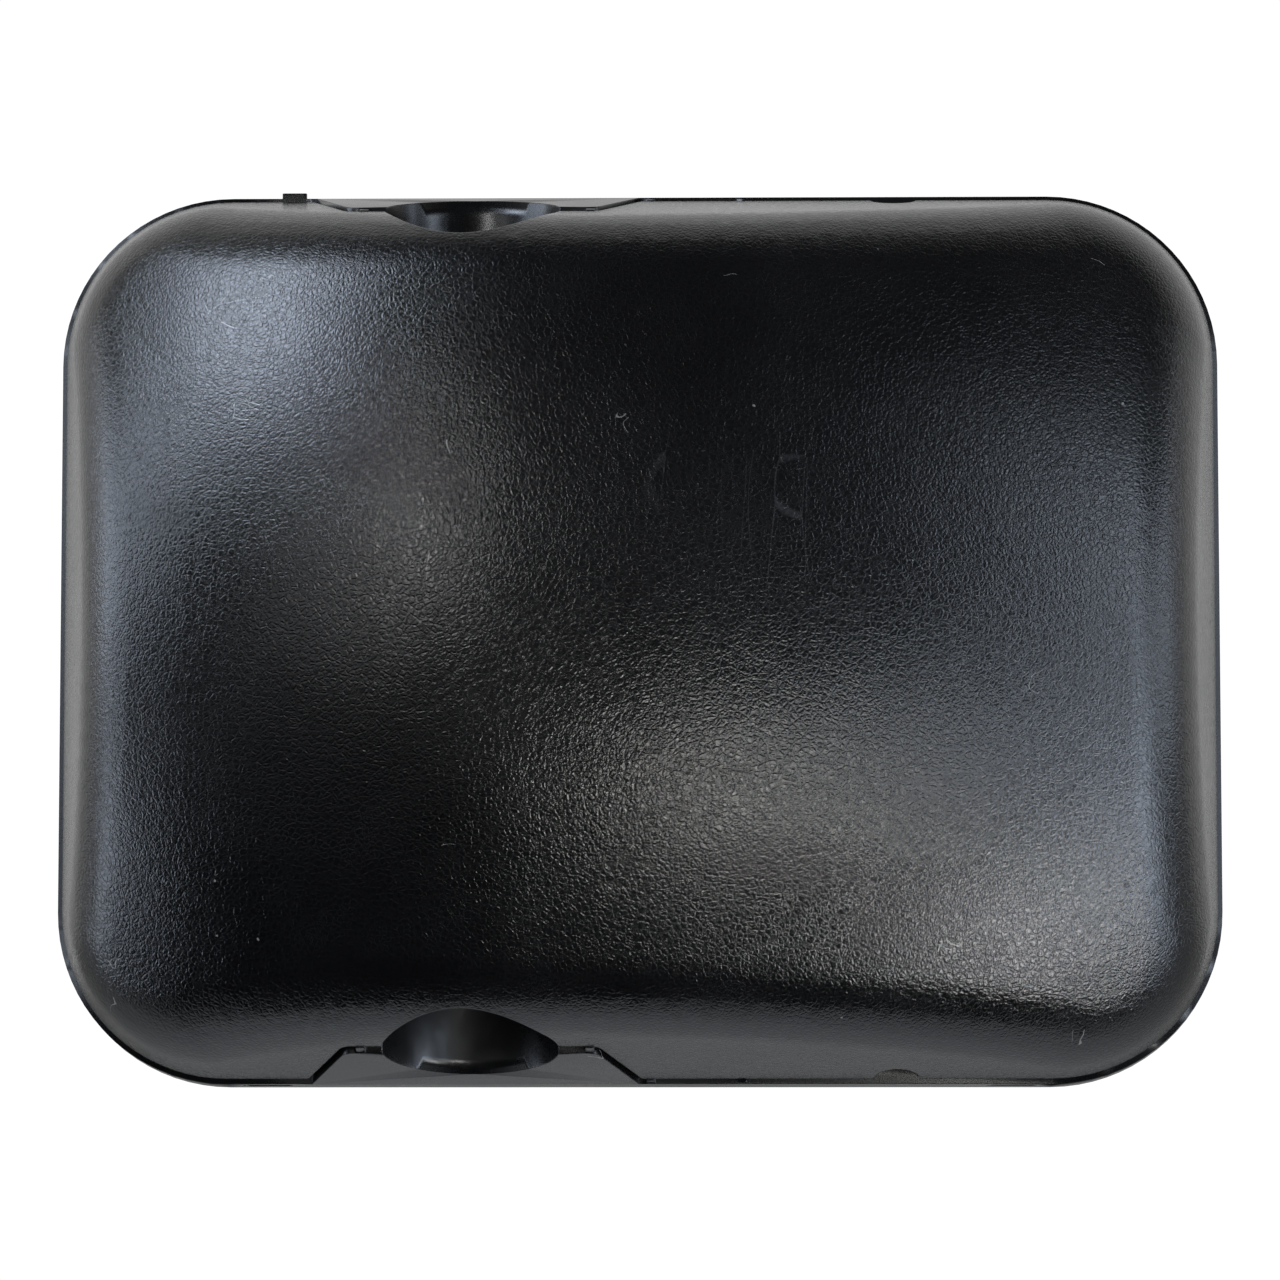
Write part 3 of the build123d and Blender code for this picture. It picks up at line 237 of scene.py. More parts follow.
@dataclass
class ShaderKit:
    """The shader groups that the finishes share, each built once.

    Attributes:
        pads: Share of the scale and width of the slope, for each size of leather pad.
        pad_shares: How much each size of pad adds to the height.
        pore_share: How much the pores add to the height.
        lint_spacing: Spacing of the lines that fibres follow, per metre.
        lint_width: Distances from the line at which a fibre is clear and full.
        lint_share: Values of the patches between which fibres appear.
        scratch_lays: Turn and stretch of each set of scratches.
        scratch_width: Distances from the line at which a scratch is clear and full.
        scratch_share: Values of the patches between which scratches appear.
        rubbed_bend: Bends of the surface between which an edge counts as rubbed.
        groups: The groups by name.
    """

    pads: tuple[tuple[float, float], ...] = ((1.0, 0.26), (2.1, 0.34))
    pad_shares: tuple[float, float] = (0.65, 0.35)
    pore_share: float = 0.15
    lint_spacing: float = 55.0
    lint_width: tuple[float, float] = (0.0045, 0.0015)
    lint_share: tuple[float, float] = (0.785, 0.8)
    scratch_lays: tuple[tuple[float, float], ...] = ((0.12, 0.035), (-0.5, 0.05))
    scratch_width: tuple[float, float] = (0.008, 0.002)
    scratch_share: tuple[float, float] = (0.6, 0.7)
    rubbed_bend: tuple[float, float] = (0.01, 0.14)
    groups: dict[str, bpy.types.NodeTree] = field(default_factory=dict)

    def group(self, name: str, inputs: dict[str, float], outputs: tuple[str, ...]) -> tuple[Tree, Any, Any]:
        """Opens a new shader group.

        Args:
            name: The group's name.
            inputs: Default value of each named input.
            outputs: Names of the outputs; one called Normal is a vector.

        Returns:
            The tree, its Group Input node and its Group Output node.
        """
        made = Tree(bpy.data.node_groups.new(name, "ShaderNodeTree"))
        for label, value in inputs.items():
            made.socket(label, Kind.FLOAT, value)
        for label in outputs:
            made.socket(label, Kind.VECTOR if label == "Normal" else Kind.FLOAT, out=True)
        self.groups[name] = made.tree
        return made, made.add("NodeGroupInput"), made.add("NodeGroupOutput")

    def warped(self, made: Tree, scale: Any, amount: Any) -> Socket:
        """Object coordinates pushed about by a soft noise.

        Args:
            made: The tree to build in.
            scale: Scale of the noise, per metre.
            amount: How far points move, in metres.

        Returns:
            The warped coordinates.
        """
        place = made.place()
        noise = made.add("ShaderNodeTexNoise", {"Vector": place, "Scale": scale, "Detail": 1.0})
        centred = made.vector("SUBTRACT", noise.outputs["Color"], (0.5, 0.5, 0.5))
        moved = made.vector("SCALE", centred.outputs[0], scale=amount)
        return made.vector("ADD", place, moved.outputs[0]).outputs[0]

    def build(self) -> None:
        """Builds every group."""
        self.leather()
        self.moulded()
        self.cast()
        self.turned()
        self.foam()
        self.tone()
        self.dust()
        self.scratches()
        self.edge_wear()
        LOG.info("shader groups: %s", ", ".join(sorted(self.groups)))

    def leather(self) -> None:
        """Leather grain: rounded pads of two sizes with creases between them."""
        made, given, out = self.group("leather_grain", {"Scale": 950.0}, ("Height", "Crease"))
        scale = given.outputs["Scale"]
        place = self.warped(made, made.times(scale, 0.6), made.math("DIVIDE", 0.7, scale))
        heights = []
        for factor, width in self.pads:
            heights.append(made.ramp(made.cells(place, made.times(scale, factor)), 0.0, width))
        first, second = self.pad_shares
        pores = made.noise(place, made.times(scale, 3.0))
        pads = made.math("MULTIPLY_ADD", heights[1], second, made.times(heights[0], first))
        made.put(made.math("MULTIPLY_ADD", pores, self.pore_share, pads), out.inputs["Height"])
        made.put(made.math("SUBTRACT", 1.0, pads, clamp=True), out.inputs["Crease"])

    def moulded(self) -> None:
        """Fine spark-eroded texture of a plain moulding."""
        made, given, out = self.group("moulded_skin", {"Scale": 3500.0}, ("Height", "Crease"))
        place = made.place()
        grit = made.noise(place, given.outputs["Scale"])
        made.put(grit, out.inputs["Height"])
        made.put(made.ramp(grit, 0.55, 0.3), out.inputs["Crease"])

    def cast(self) -> None:
        """Die-cast and tumbled skin: soft orange peel with a few pits."""
        made, given, out = self.group("cast_skin", {"Scale": 900.0}, ("Height", "Crease"))
        scale = given.outputs["Scale"]
        place = made.place()
        peel = made.noise(place, scale, 3.0)
        pits = made.add("ShaderNodeTexVoronoi", {"Vector": place, "Scale": made.times(scale, 0.45)})
        pit = made.ramp(pits.outputs["Distance"], 0.22, 0.1)
        made.put(made.math("MULTIPLY_ADD", pit, -0.5, peel), out.inputs["Height"])
        made.put(pit, out.inputs["Crease"])

    def turned(self) -> None:
        """Fine streaks of a drawn, ground or plated metal surface."""
        made, given, out = self.group("turned_skin", {"Scale": 1200.0}, ("Height", "Crease"))
        place = made.place()
        drawn = made.add("ShaderNodeMapping", {"Vector": place, "Scale": (1.0, 0.15, 1.0)})
        streaks = made.noise(drawn.outputs[0], given.outputs["Scale"], 4.0)
        made.put(streaks, out.inputs["Height"])
        made.put(made.ramp(streaks, 0.5, 0.25), out.inputs["Crease"])

    def foam(self) -> None:
        """Open cells of foam tape."""
        made, given, out = self.group("foam_skin", {"Scale": 1800.0}, ("Height", "Crease"))
        place = made.place()
        cells = made.add("ShaderNodeTexVoronoi", {"Vector": place, "Scale": given.outputs["Scale"]})
        made.put(cells.outputs["Distance"], out.inputs["Height"])
        made.put(made.ramp(cells.outputs["Distance"], 0.45, 0.1), out.inputs["Crease"])

    def tone(self) -> None:
        """Slow drift of tone over a piece, from 0 to 1 about a middle of a half."""
        made, given, out = self.group("tone_drift", {"Scale": 30.0}, ("Value",))
        place = self.warped(made, given.outputs["Scale"], 0.01)
        inputs = {"Vector": place, "Scale": given.outputs["Scale"], "Detail": 4.0, "Roughness": 0.6}
        drift = made.add("ShaderNodeTexNoise", inputs)
        made.put(made.ramp(drift.outputs[0], 0.3, 0.7), out.inputs["Value"])

    def dust(self) -> None:
        """Loose specks and short curved fibres that lie on a surface."""
        inputs = {"Spacing": 140.0, "Speck": 0.055, "Lint": 1.0}
        made, given, out = self.group("dust_and_lint", inputs, ("Mask",))
        place = self.warped(made, 220.0, 0.003)
        specks = made.add("ShaderNodeTexVoronoi", {"Vector": place, "Scale": given.outputs["Spacing"]})
        shade = made.add("ShaderNodeSeparateColor", {"Color": specks.outputs["Color"]})
        size = made.times(made.math("POWER", shade.outputs[0], 5.0), given.outputs["Speck"])
        speck = made.ramp(made.math("SUBTRACT", size, specks.outputs["Distance"]), 0.0, 0.01)
        fibres = made.cells(self.warped(made, 160.0, 0.012), self.lint_spacing)
        line = made.ramp(fibres, *self.lint_width)
        sparse = made.ramp(made.noise(place, 130.0, 0.0), *self.lint_share)
        lint = made.times(made.times(line, sparse), given.outputs["Lint"])
        made.put(made.math("MAXIMUM", speck, lint, clamp=True), out.inputs["Mask"])

    def scratches(self) -> None:
        """Sparse hairline scratches, mostly upright."""
        made, given, out = self.group("hairline_scratches", {"Scale": 24.0}, ("Mask",))
        place = self.warped(made, 12.0, 0.02)
        masks = []
        for turn, stretch in self.scratch_lays:
            laid = made.add(
                "ShaderNodeMapping",
                {"Vector": place, "Rotation": (0.0, turn, 0.0), "Scale": (1.0, 1.0, stretch)},
            )
            lines = made.cells(laid.outputs[0], made.times(given.outputs["Scale"], 4.0))
            masks.append(made.ramp(lines, *self.scratch_width))
        sparse = made.ramp(made.noise(place, given.outputs["Scale"]), *self.scratch_share)
        both = made.math("MAXIMUM", *masks)
        made.put(made.times(both, sparse, clamp=True), out.inputs["Mask"])

    def edge_wear(self) -> None:
        """Rounded shading along sharp edges and a broken mask of where they are rubbed."""
        made, given, out = self.group("edge_wear", {"Radius": 0.0003, "Breakup": 900.0}, ("Mask", "Normal"))
        soft = made.add("ShaderNodeBevel", {"Radius": given.outputs["Radius"]}, samples=4)
        plain = made.add("ShaderNodeNewGeometry").outputs["Normal"]
        bend = made.vector("DOT_PRODUCT", soft.outputs[0], plain).outputs["Value"]
        place = made.place()
        noise = made.noise(place, given.outputs["Breakup"])
        rubbed = made.ramp(made.math("SUBTRACT", 1.0, bend), *self.rubbed_bend)
        broken = made.times(rubbed, made.ramp(noise, 0.42, 0.6), clamp=True)
        made.put(broken, out.inputs["Mask"])
        made.put(soft.outputs[0], out.inputs["Normal"])


SHADERS = ShaderKit()


# ---- Finishes ----
DUST_COLOUR: Colour = (0.42, 0.41, 0.39)
DUST_ROUGHNESS = 0.4
SCRATCH_ROUGHNESS = 0.2
TONE_ROUGHNESS = 0.05
TONE_SCALE = 30.0


@dataclass(frozen=True)
class Finish:
    """How one material slot of the part looks.

    Attributes:
        slot: The record's material slot.
        colour: Base colour.
        second: Colour that the tone drifts to.
        roughness: Roughness of the raised surface.
        crease_roughness: Roughness down in the grain.
        metallic: 1 for bare metal.
        specular: Specular level.
        coat: Weight of a clear coat.
        grain: The kind of surface.
        grain_scale: Grains per metre.
        grain_depth: Depth of the grain's bump, in metres.
        wear: How strongly edges are rubbed.
        wear_colour: Colour of a rubbed edge.
        edge_radius: Radius that sharp edges are shaded with, in metres.
        dust: How much dust shows.
        scratch: How much scratches show.
    """

    slot: str
    colour: Colour
    second: Colour
    roughness: float
    crease_roughness: float
    metallic: float = 0.0
    specular: float = 0.5
    coat: float = 0.0
    grain: Grain = Grain.MOULDED
    grain_scale: float = 3500.0
    grain_depth: float = 0.00001
    wear: float = 0.3
    wear_colour: Colour = (0.09, 0.09, 0.092)
    edge_radius: float = 0.0003
    dust: float = 0.0
    scratch: float = 0.0

    def place(self, made: Tree, name: str, **inputs: float) -> bpy.types.Node:
        """Places a shared shader group with this finish's own values.

        Args:
            made: The material's tree.
            name: The group's name.
            **inputs: Value of each named input.

        Returns:
            The group's node.
        """
        node = made.add("ShaderNodeGroup", node_tree=SHADERS.groups[name])
        for label, value in inputs.items():
            node.inputs[label].default_value = value
        return node

    def material(self) -> bpy.types.Material:
        """Builds the finish's material once and gives it.

        Returns:
            The material, named after its slot.
        """
        known = bpy.data.materials.get("finish_" + self.slot)
        if known:
            return known
        material = bpy.data.materials.new("finish_" + self.slot)
        material.use_nodes = True
        made = Tree(material.node_tree)
        shader = material.node_tree.nodes["Principled BSDF"]
        skin = self.place(made, self.grain.value, Scale=self.grain_scale)
        drift = self.place(made, "tone_drift", Scale=TONE_SCALE).outputs["Value"]
        edge = self.place(made, "edge_wear", Radius=self.edge_radius)
        colour = made.mix(drift, rgba(self.colour), rgba(self.second))
        rough = made.add(
            "ShaderNodeMapRange",
            {0: skin.outputs["Crease"], 3: self.roughness, 4: self.crease_roughness},
        ).outputs[0]
        rough = made.math("MULTIPLY_ADD", drift, TONE_ROUGHNESS, rough)
        rubbed = made.times(edge.outputs["Mask"], self.wear)
        colour = made.mix(rubbed, colour, rgba(self.wear_colour))
        if self.scratch:
            lines = self.place(made, "hairline_scratches").outputs["Mask"]
            scored = made.times(lines, self.scratch)
            colour = made.mix(scored, colour, rgba(self.wear_colour))
            rough = made.math("MULTIPLY_ADD", scored, SCRATCH_ROUGHNESS, rough)
        if self.dust:
            laid = self.place(made, "dust_and_lint").outputs["Mask"]
            covered = made.times(laid, self.dust)
            colour = made.mix(covered, colour, rgba(DUST_COLOUR))
            rough = made.math("MULTIPLY_ADD", covered, DUST_ROUGHNESS, rough)
        bump = made.add(
            "ShaderNodeBump",
            {
                "Strength": 1.0,
                "Distance": self.grain_depth,
                "Height": skin.outputs["Height"],
                "Normal": edge.outputs["Normal"],
            },
        )
        made.put(colour, shader.inputs["Base Color"])
        made.put(made.math("MINIMUM", rough, 1.0, clamp=True), shader.inputs["Roughness"])
        made.put(bump.outputs[0], shader.inputs["Normal"])
        shader.inputs["Metallic"].default_value = self.metallic
        shader.inputs["Specular IOR Level"].default_value = self.specular
        shader.inputs["Coat Weight"].default_value = self.coat
        return material

    def dress(self, piece: bpy.types.Object) -> None:
        """Puts the finish on a piece and names the slot it comes from."""
        piece.data.materials.clear()
        piece.data.materials.append(self.material())


STEEL_EDGE: Colour = (0.8, 0.81, 0.82)
GRAINED_PLASTIC = Finish(
    slot="grained_plastic",
    colour=(0.0014, 0.0014, 0.0016),
    second=(0.0022, 0.0022, 0.0025),
    roughness=0.15,
    crease_roughness=0.24,
    grain=Grain.LEATHER,
    grain_scale=980.0,
    grain_depth=0.00004,
    wear=0.25,
    wear_colour=(0.05, 0.05, 0.052),
    dust=0.25,
    scratch=0.2,
)
SMOOTH_PLASTIC = Finish(
    slot="smooth_plastic",
    colour=(0.0016, 0.0016, 0.0018),
    second=(0.0026, 0.0026, 0.0028),
    roughness=0.24,
    crease_roughness=0.3,
    grain_depth=0.000004,
    wear=0.35,
    dust=0.5,
)
SPRING_STEEL = Finish(
    slot="spring_steel",
    colour=(0.12, 0.14, 0.2),
    second=(0.19, 0.18, 0.19),
    roughness=0.28,
    crease_roughness=0.4,
    metallic=1.0,
    grain=Grain.TURNED,
    wear=0.6,
    wear_colour=STEEL_EDGE,
    edge_radius=0.0001,
)
BRASS = Finish(
    slot="brass",
    colour=(0.72, 0.52, 0.22),
    second=(0.58, 0.4, 0.16),
    roughness=0.28,
    crease_roughness=0.4,
    metallic=1.0,
    grain=Grain.TURNED,
    wear_colour=(0.9, 0.75, 0.42),
    edge_radius=0.0001,
)
CAST_ALUMINIUM = Finish(
    slot="cast_aluminium",
    colour=(0.5, 0.51, 0.52),
    second=(0.4, 0.405, 0.41),
    roughness=0.42,
    crease_roughness=0.6,
    metallic=1.0,
    grain=Grain.CAST,
    grain_scale=900.0,
    grain_depth=0.00004,
    wear=0.7,
    wear_colour=(0.78, 0.78, 0.79),
    edge_radius=0.0005,
)
ZINC_STEEL = Finish(
    slot="zinc_steel",
    colour=(0.6, 0.61, 0.64),
    second=(0.5, 0.5, 0.5),
    roughness=0.26,
    crease_roughness=0.42,
    metallic=1.0,
    grain=Grain.TURNED,
    grain_scale=1500.0,
    wear=0.5,
    wear_colour=STEEL_EDGE,
    edge_radius=0.00012,
)
PIN_STEEL = Finish(
    slot="pin_steel",
    colour=(0.5, 0.5, 0.51),
    second=(0.42, 0.42, 0.43),
    roughness=0.2,
    crease_roughness=0.32,
    metallic=1.0,
    grain=Grain.TURNED,
    wear_colour=STEEL_EDGE,
    edge_radius=0.0001,
)
FILLED_PLASTIC = Finish(
    slot="filled_plastic",
    colour=(0.018, 0.018, 0.02),
    second=(0.028, 0.028, 0.03),
    roughness=0.55,
    crease_roughness=0.7,
    grain_scale=2200.0,
    grain_depth=0.00003,
    dust=0.4,
)
FOAM_TAPE = Finish(
    slot="foam_tape",
    colour=(0.1, 0.1, 0.1),
    second=(0.14, 0.14, 0.14),
    roughness=0.9,
    crease_roughness=1.0,
    grain=Grain.FOAM,
    grain_scale=1800.0,
    grain_depth=0.0001,
    wear=0.0,
)
GASKET_RUBBER = Finish(
    slot="gasket_rubber",
    colour=(0.012, 0.012, 0.012),
    second=(0.02, 0.02, 0.02),
    roughness=0.62,
    crease_roughness=0.75,
    grain_scale=2800.0,
    grain_depth=0.000015,
    wear=0.5,
    wear_colour=(0.05, 0.05, 0.05),
    edge_radius=0.0004,
    dust=0.8,
)
BARREL_NYLON = Finish(
    slot="barrel_nylon",
    colour=(0.03, 0.03, 0.033),
    second=(0.045, 0.045, 0.048),
    roughness=0.45,
    crease_roughness=0.6,
    grain=Grain.TURNED,
    grain_scale=2400.0,
    grain_depth=0.00002,
    wear=0.5,
    wear_colour=(0.16, 0.16, 0.165),
    edge_radius=0.0004,
)
SLEEVE_ACETAL = Finish(
    slot="sleeve_acetal",
    colour=(0.72, 0.7, 0.62),
    second=(0.62, 0.59, 0.5),
    roughness=0.32,
    crease_roughness=0.4,
    coat=0.15,
    wear=0.3,
    wear_colour=(0.8, 0.79, 0.75),
    dust=0.5,
)


@dataclass(frozen=True)
class SilveredGlass(Finish):
    """Clear glass silvered on its back, with a faint film of dust.

    Attributes:
        film_scale: Patches of the film per metre.
        film_roughness: Roughness that the film adds.
        dust_spacing: Specks of dust per metre.
        dust_roughness: Roughness under a speck.
    """

    film_scale: float = 60.0
    film_roughness: float = 0.02
    dust_spacing: float = 200.0
    dust_roughness: float = 0.3

    def material(self) -> bpy.types.Material:
        """Builds the glass, whose silvering is a bright metal under a glossy coat.

        Returns:
            The material.
        """
        known = bpy.data.materials.get("finish_" + self.slot)
        if known:
            return known
        material = Finish.material(self)
        made = Tree(material.node_tree)
        shader = material.node_tree.nodes["Principled BSDF"]
        film = self.place(made, "tone_drift", Scale=self.film_scale).outputs["Value"]
        laid = self.place(made, "dust_and_lint", Spacing=self.dust_spacing).outputs["Mask"]
        hazy = made.math("MULTIPLY_ADD", film, self.film_roughness, self.roughness)
        rough = made.math("MULTIPLY_ADD", laid, self.dust_roughness, hazy)
        made.put(rough, shader.inputs["Roughness"])
        return material


MIRROR_GLASS = SilveredGlass(
    slot="mirror_glass",
    colour=(0.84, 0.87, 0.89),
    second=(0.82, 0.85, 0.87),
    roughness=0.012,
    crease_roughness=0.02,
    metallic=1.0,
    coat=1.0,
    grain_depth=0.0000002,
    wear=0.15,
    wear_colour=(0.35, 0.45, 0.4),
    edge_radius=0.0002,
    dust=0.25,
)


# ---- Making pieces ----
MERGE_DISTANCE = 0.000002
PANE_MERGE_DISTANCE = 0.000001
CREASE_ANGLE = radians(28)
GROWN_CREASE_ANGLE = radians(32)
MOULDING_CREASE_ANGLE = radians(24)


def link(name: str, mesh: bpy.types.Mesh) -> bpy.types.Object:
    """Makes an object of a mesh, at the origin, in the scene.

    Args:
        name: The object's name.
        mesh: Its mesh.

    Returns:
        The object.
    """
    piece = bpy.data.objects.new(name, mesh)
    bpy.context.scene.collection.objects.link(piece)
    return piece


def smooth(mesh: bpy.types.Mesh, crease: float = CREASE_ANGLE) -> None:
    """Shades a mesh smooth, with sharp edges where it turns by more than crease."""
    mesh.shade_smooth()
    mesh.set_sharp_from_angle(angle=crease)


def merged_copy(node: str, name: str, crease: float = CREASE_ANGLE) -> bpy.types.Object:
    """Copies a CAD node as a merged, smoothly shaded mesh.

    Args:
        node: Name of the CAD node.
        name: Name of the new piece.
        crease: Angle from which an edge stays sharp.

    Returns:
        The new piece.
    """
    shape = bmesh.new()
    shape.from_mesh(frame["nodes"][node].data)
    bmesh.ops.remove_doubles(shape, verts=shape.verts, dist=MERGE_DISTANCE)
    bmesh.ops.dissolve_degenerate(shape, edges=shape.edges, dist=MERGE_DISTANCE)
    mesh = bpy.data.meshes.new(name)
    shape.to_mesh(mesh)
    shape.free()
    smooth(mesh, crease)
    piece = link(name, mesh)
    weighted = piece.modifiers.new("weighted_normals", "WEIGHTED_NORMAL")
    weighted.keep_sharp = True
    return piece


def settle(piece: bpy.types.Object, finish: Finish, body: Body, *nodes: str) -> None:
    """Dresses a finished piece, makes it ride on its body and stand for its CAD nodes.

    Args:
        piece: The piece.
        finish: Its finish.
        body: The body it rides on.
        *nodes: CAD nodes that it replaces.
    """
    finish.dress(piece)
    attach(piece, body.value)
    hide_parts(*nodes)
    faces = len(piece.data.polygons)
    LOG.info("%s: %d faces, on %s, for %s", piece.name, faces, body.value, ", ".join(nodes))


def refine(node: str, finish: Finish, body: Body, crease: float = CREASE_ANGLE) -> None:
    """Replaces a CAD node with its own merged copy, smoothly shaded and dressed.

    Args:
        node: Name of the CAD node.
        finish: Its finish.
        body: The body it rides on.
        crease: Angle from which an edge stays sharp.
    """
    settle(merged_copy(node, node + "_finished", crease), finish, body, node)


def islands(node: str) -> list[tuple[Vector, Vector]]:
    """Boxes of a CAD node's separate solids.

    Args:
        node: Name of the CAD node.

    Returns:
        Lowest and highest corner of each solid, in order of place.
    """
    shape = bmesh.new()
    shape.from_mesh(frame["nodes"][node].data)
    bmesh.ops.remove_doubles(shape, verts=shape.verts, dist=MERGE_DISTANCE)
    seen: set[bmesh.types.BMVert] = set()
    boxes = []
    for start in shape.verts:
        if start in seen:
            continue
        seen.add(start)
        group = [start]
        for vert in group:
            for edge in vert.link_edges:
                other = edge.other_vert(vert)
                if other not in seen:
                    seen.add(other)
                    group.append(other)
        corners = [[min(v.co[i] for v in group), max(v.co[i] for v in group)] for i in range(3)]
        boxes.append((Vector([c[0] for c in corners]), Vector([c[1] for c in corners])))
    shape.free()
    return sorted(boxes, key=lambda box: (round(box[0].x, 4), round(box[0].z, 4)))


@dataclass
class NodeShape:
    """A geometry tree and the modifier values it is used with.

    Attributes:
        made: The tree being built.
        sockets: Identifier of each named input.
    """

    made: Tree
    sockets: dict[str, str]

    @classmethod
    def start(cls, name: str, inputs: dict[str, tuple[Kind, Any]]) -> "NodeShape":
        """Opens a geometry tree with named inputs.

        Args:
            name: The tree's name.
            inputs: Kind and default value of each input.

        Returns:
            The new shape.
        """
        made = Tree(bpy.data.node_groups.new(name, "GeometryNodeTree"))
        made.tree.is_modifier = True
        made.socket("Geometry", Kind.GEOMETRY, out=True)
        made.socket("Geometry", Kind.GEOMETRY)
        sockets = {label: made.socket(label, kind, value) for label, (kind, value) in inputs.items()}
        sockets["Material"] = made.socket("Material", Kind.MATERIAL)
        return cls(made, sockets)

    def close(self, geometry: Socket, given: bpy.types.Node) -> None:
        """Ends the tree in real geometry with its material."""
        real = self.made.add("GeometryNodeRealizeInstances", {0: geometry})
        inputs = {"Geometry": real.outputs[0], "Material": given.outputs["Material"]}
        coated = self.made.add("GeometryNodeSetMaterial", inputs)
        self.made.put(coated.outputs[0], self.made.add("NodeGroupOutput").inputs[0])

    def stand(self, part: Socket, given: bpy.types.Node) -> None:
        """Ends the tree with the part on every point, its axis to the rear, turned by chance.

        Args:
            part: Geometry built along +Z.
            given: The Group Input node.
        """
        made = self.made
        spin = made.add(
            "FunctionNodeRandomValue",
            {2: 0.0, 3: 2 * pi, "Seed": given.outputs["Seed"]},
            data_type="FLOAT",
        )
        turn = made.add("ShaderNodeCombineXYZ", {"X": pi / 2})
        placed = made.add(
            "GeometryNodeInstanceOnPoints",
            {"Points": given.outputs["Geometry"], "Instance": part, "Rotation": turn.outputs[0]},
        )
        own = made.add("ShaderNodeCombineXYZ", {"Z": spin.outputs[1]})
        spun = made.add("GeometryNodeRotateInstances", {0: placed.outputs[0], "Rotation": own.outputs[0]})
        self.close(spun.outputs[0], given)

    def grow(
        self, name: str, points: list[Vector], values: dict[str, Any], finish: Finish
    ) -> bpy.types.Object:
        """Runs the tree on a set of points and keeps the result as a plain mesh.

        Args:
            name: Name of the new piece.
            points: Where the tree puts its shape.
            values: Value of each named input.
            finish: Finish of the result.

        Returns:
            The new piece, with no modifier left.
        """
        seed = bpy.data.meshes.new(name + "_points")
        seed.from_pydata(points, [], [])
        holder = link(name + "_holder", seed)
        modifier = holder.modifiers.new("shape", "NODES")
        modifier.node_group = self.made.tree
        modifier[self.sockets["Material"]] = finish.material()
        for label, value in values.items():
            modifier[self.sockets[label]] = value
        bpy.context.view_layer.update()
        graph = bpy.context.evaluated_depsgraph_get()
        mesh = bpy.data.meshes.new_from_object(holder.evaluated_get(graph))
        mesh.name = name
        holder.modifiers.remove(modifier)
        bpy.data.objects.remove(holder)
        bpy.data.meshes.remove(seed)
        shape = bmesh.new()
        shape.from_mesh(mesh)
        bmesh.ops.remove_doubles(shape, verts=shape.verts, dist=MERGE_DISTANCE)
        bmesh.ops.recalc_face_normals(shape, faces=shape.faces)
        shape.to_mesh(mesh)
        shape.free()
        smooth(mesh, GROWN_CREASE_ANGLE)
        return link(name, mesh)


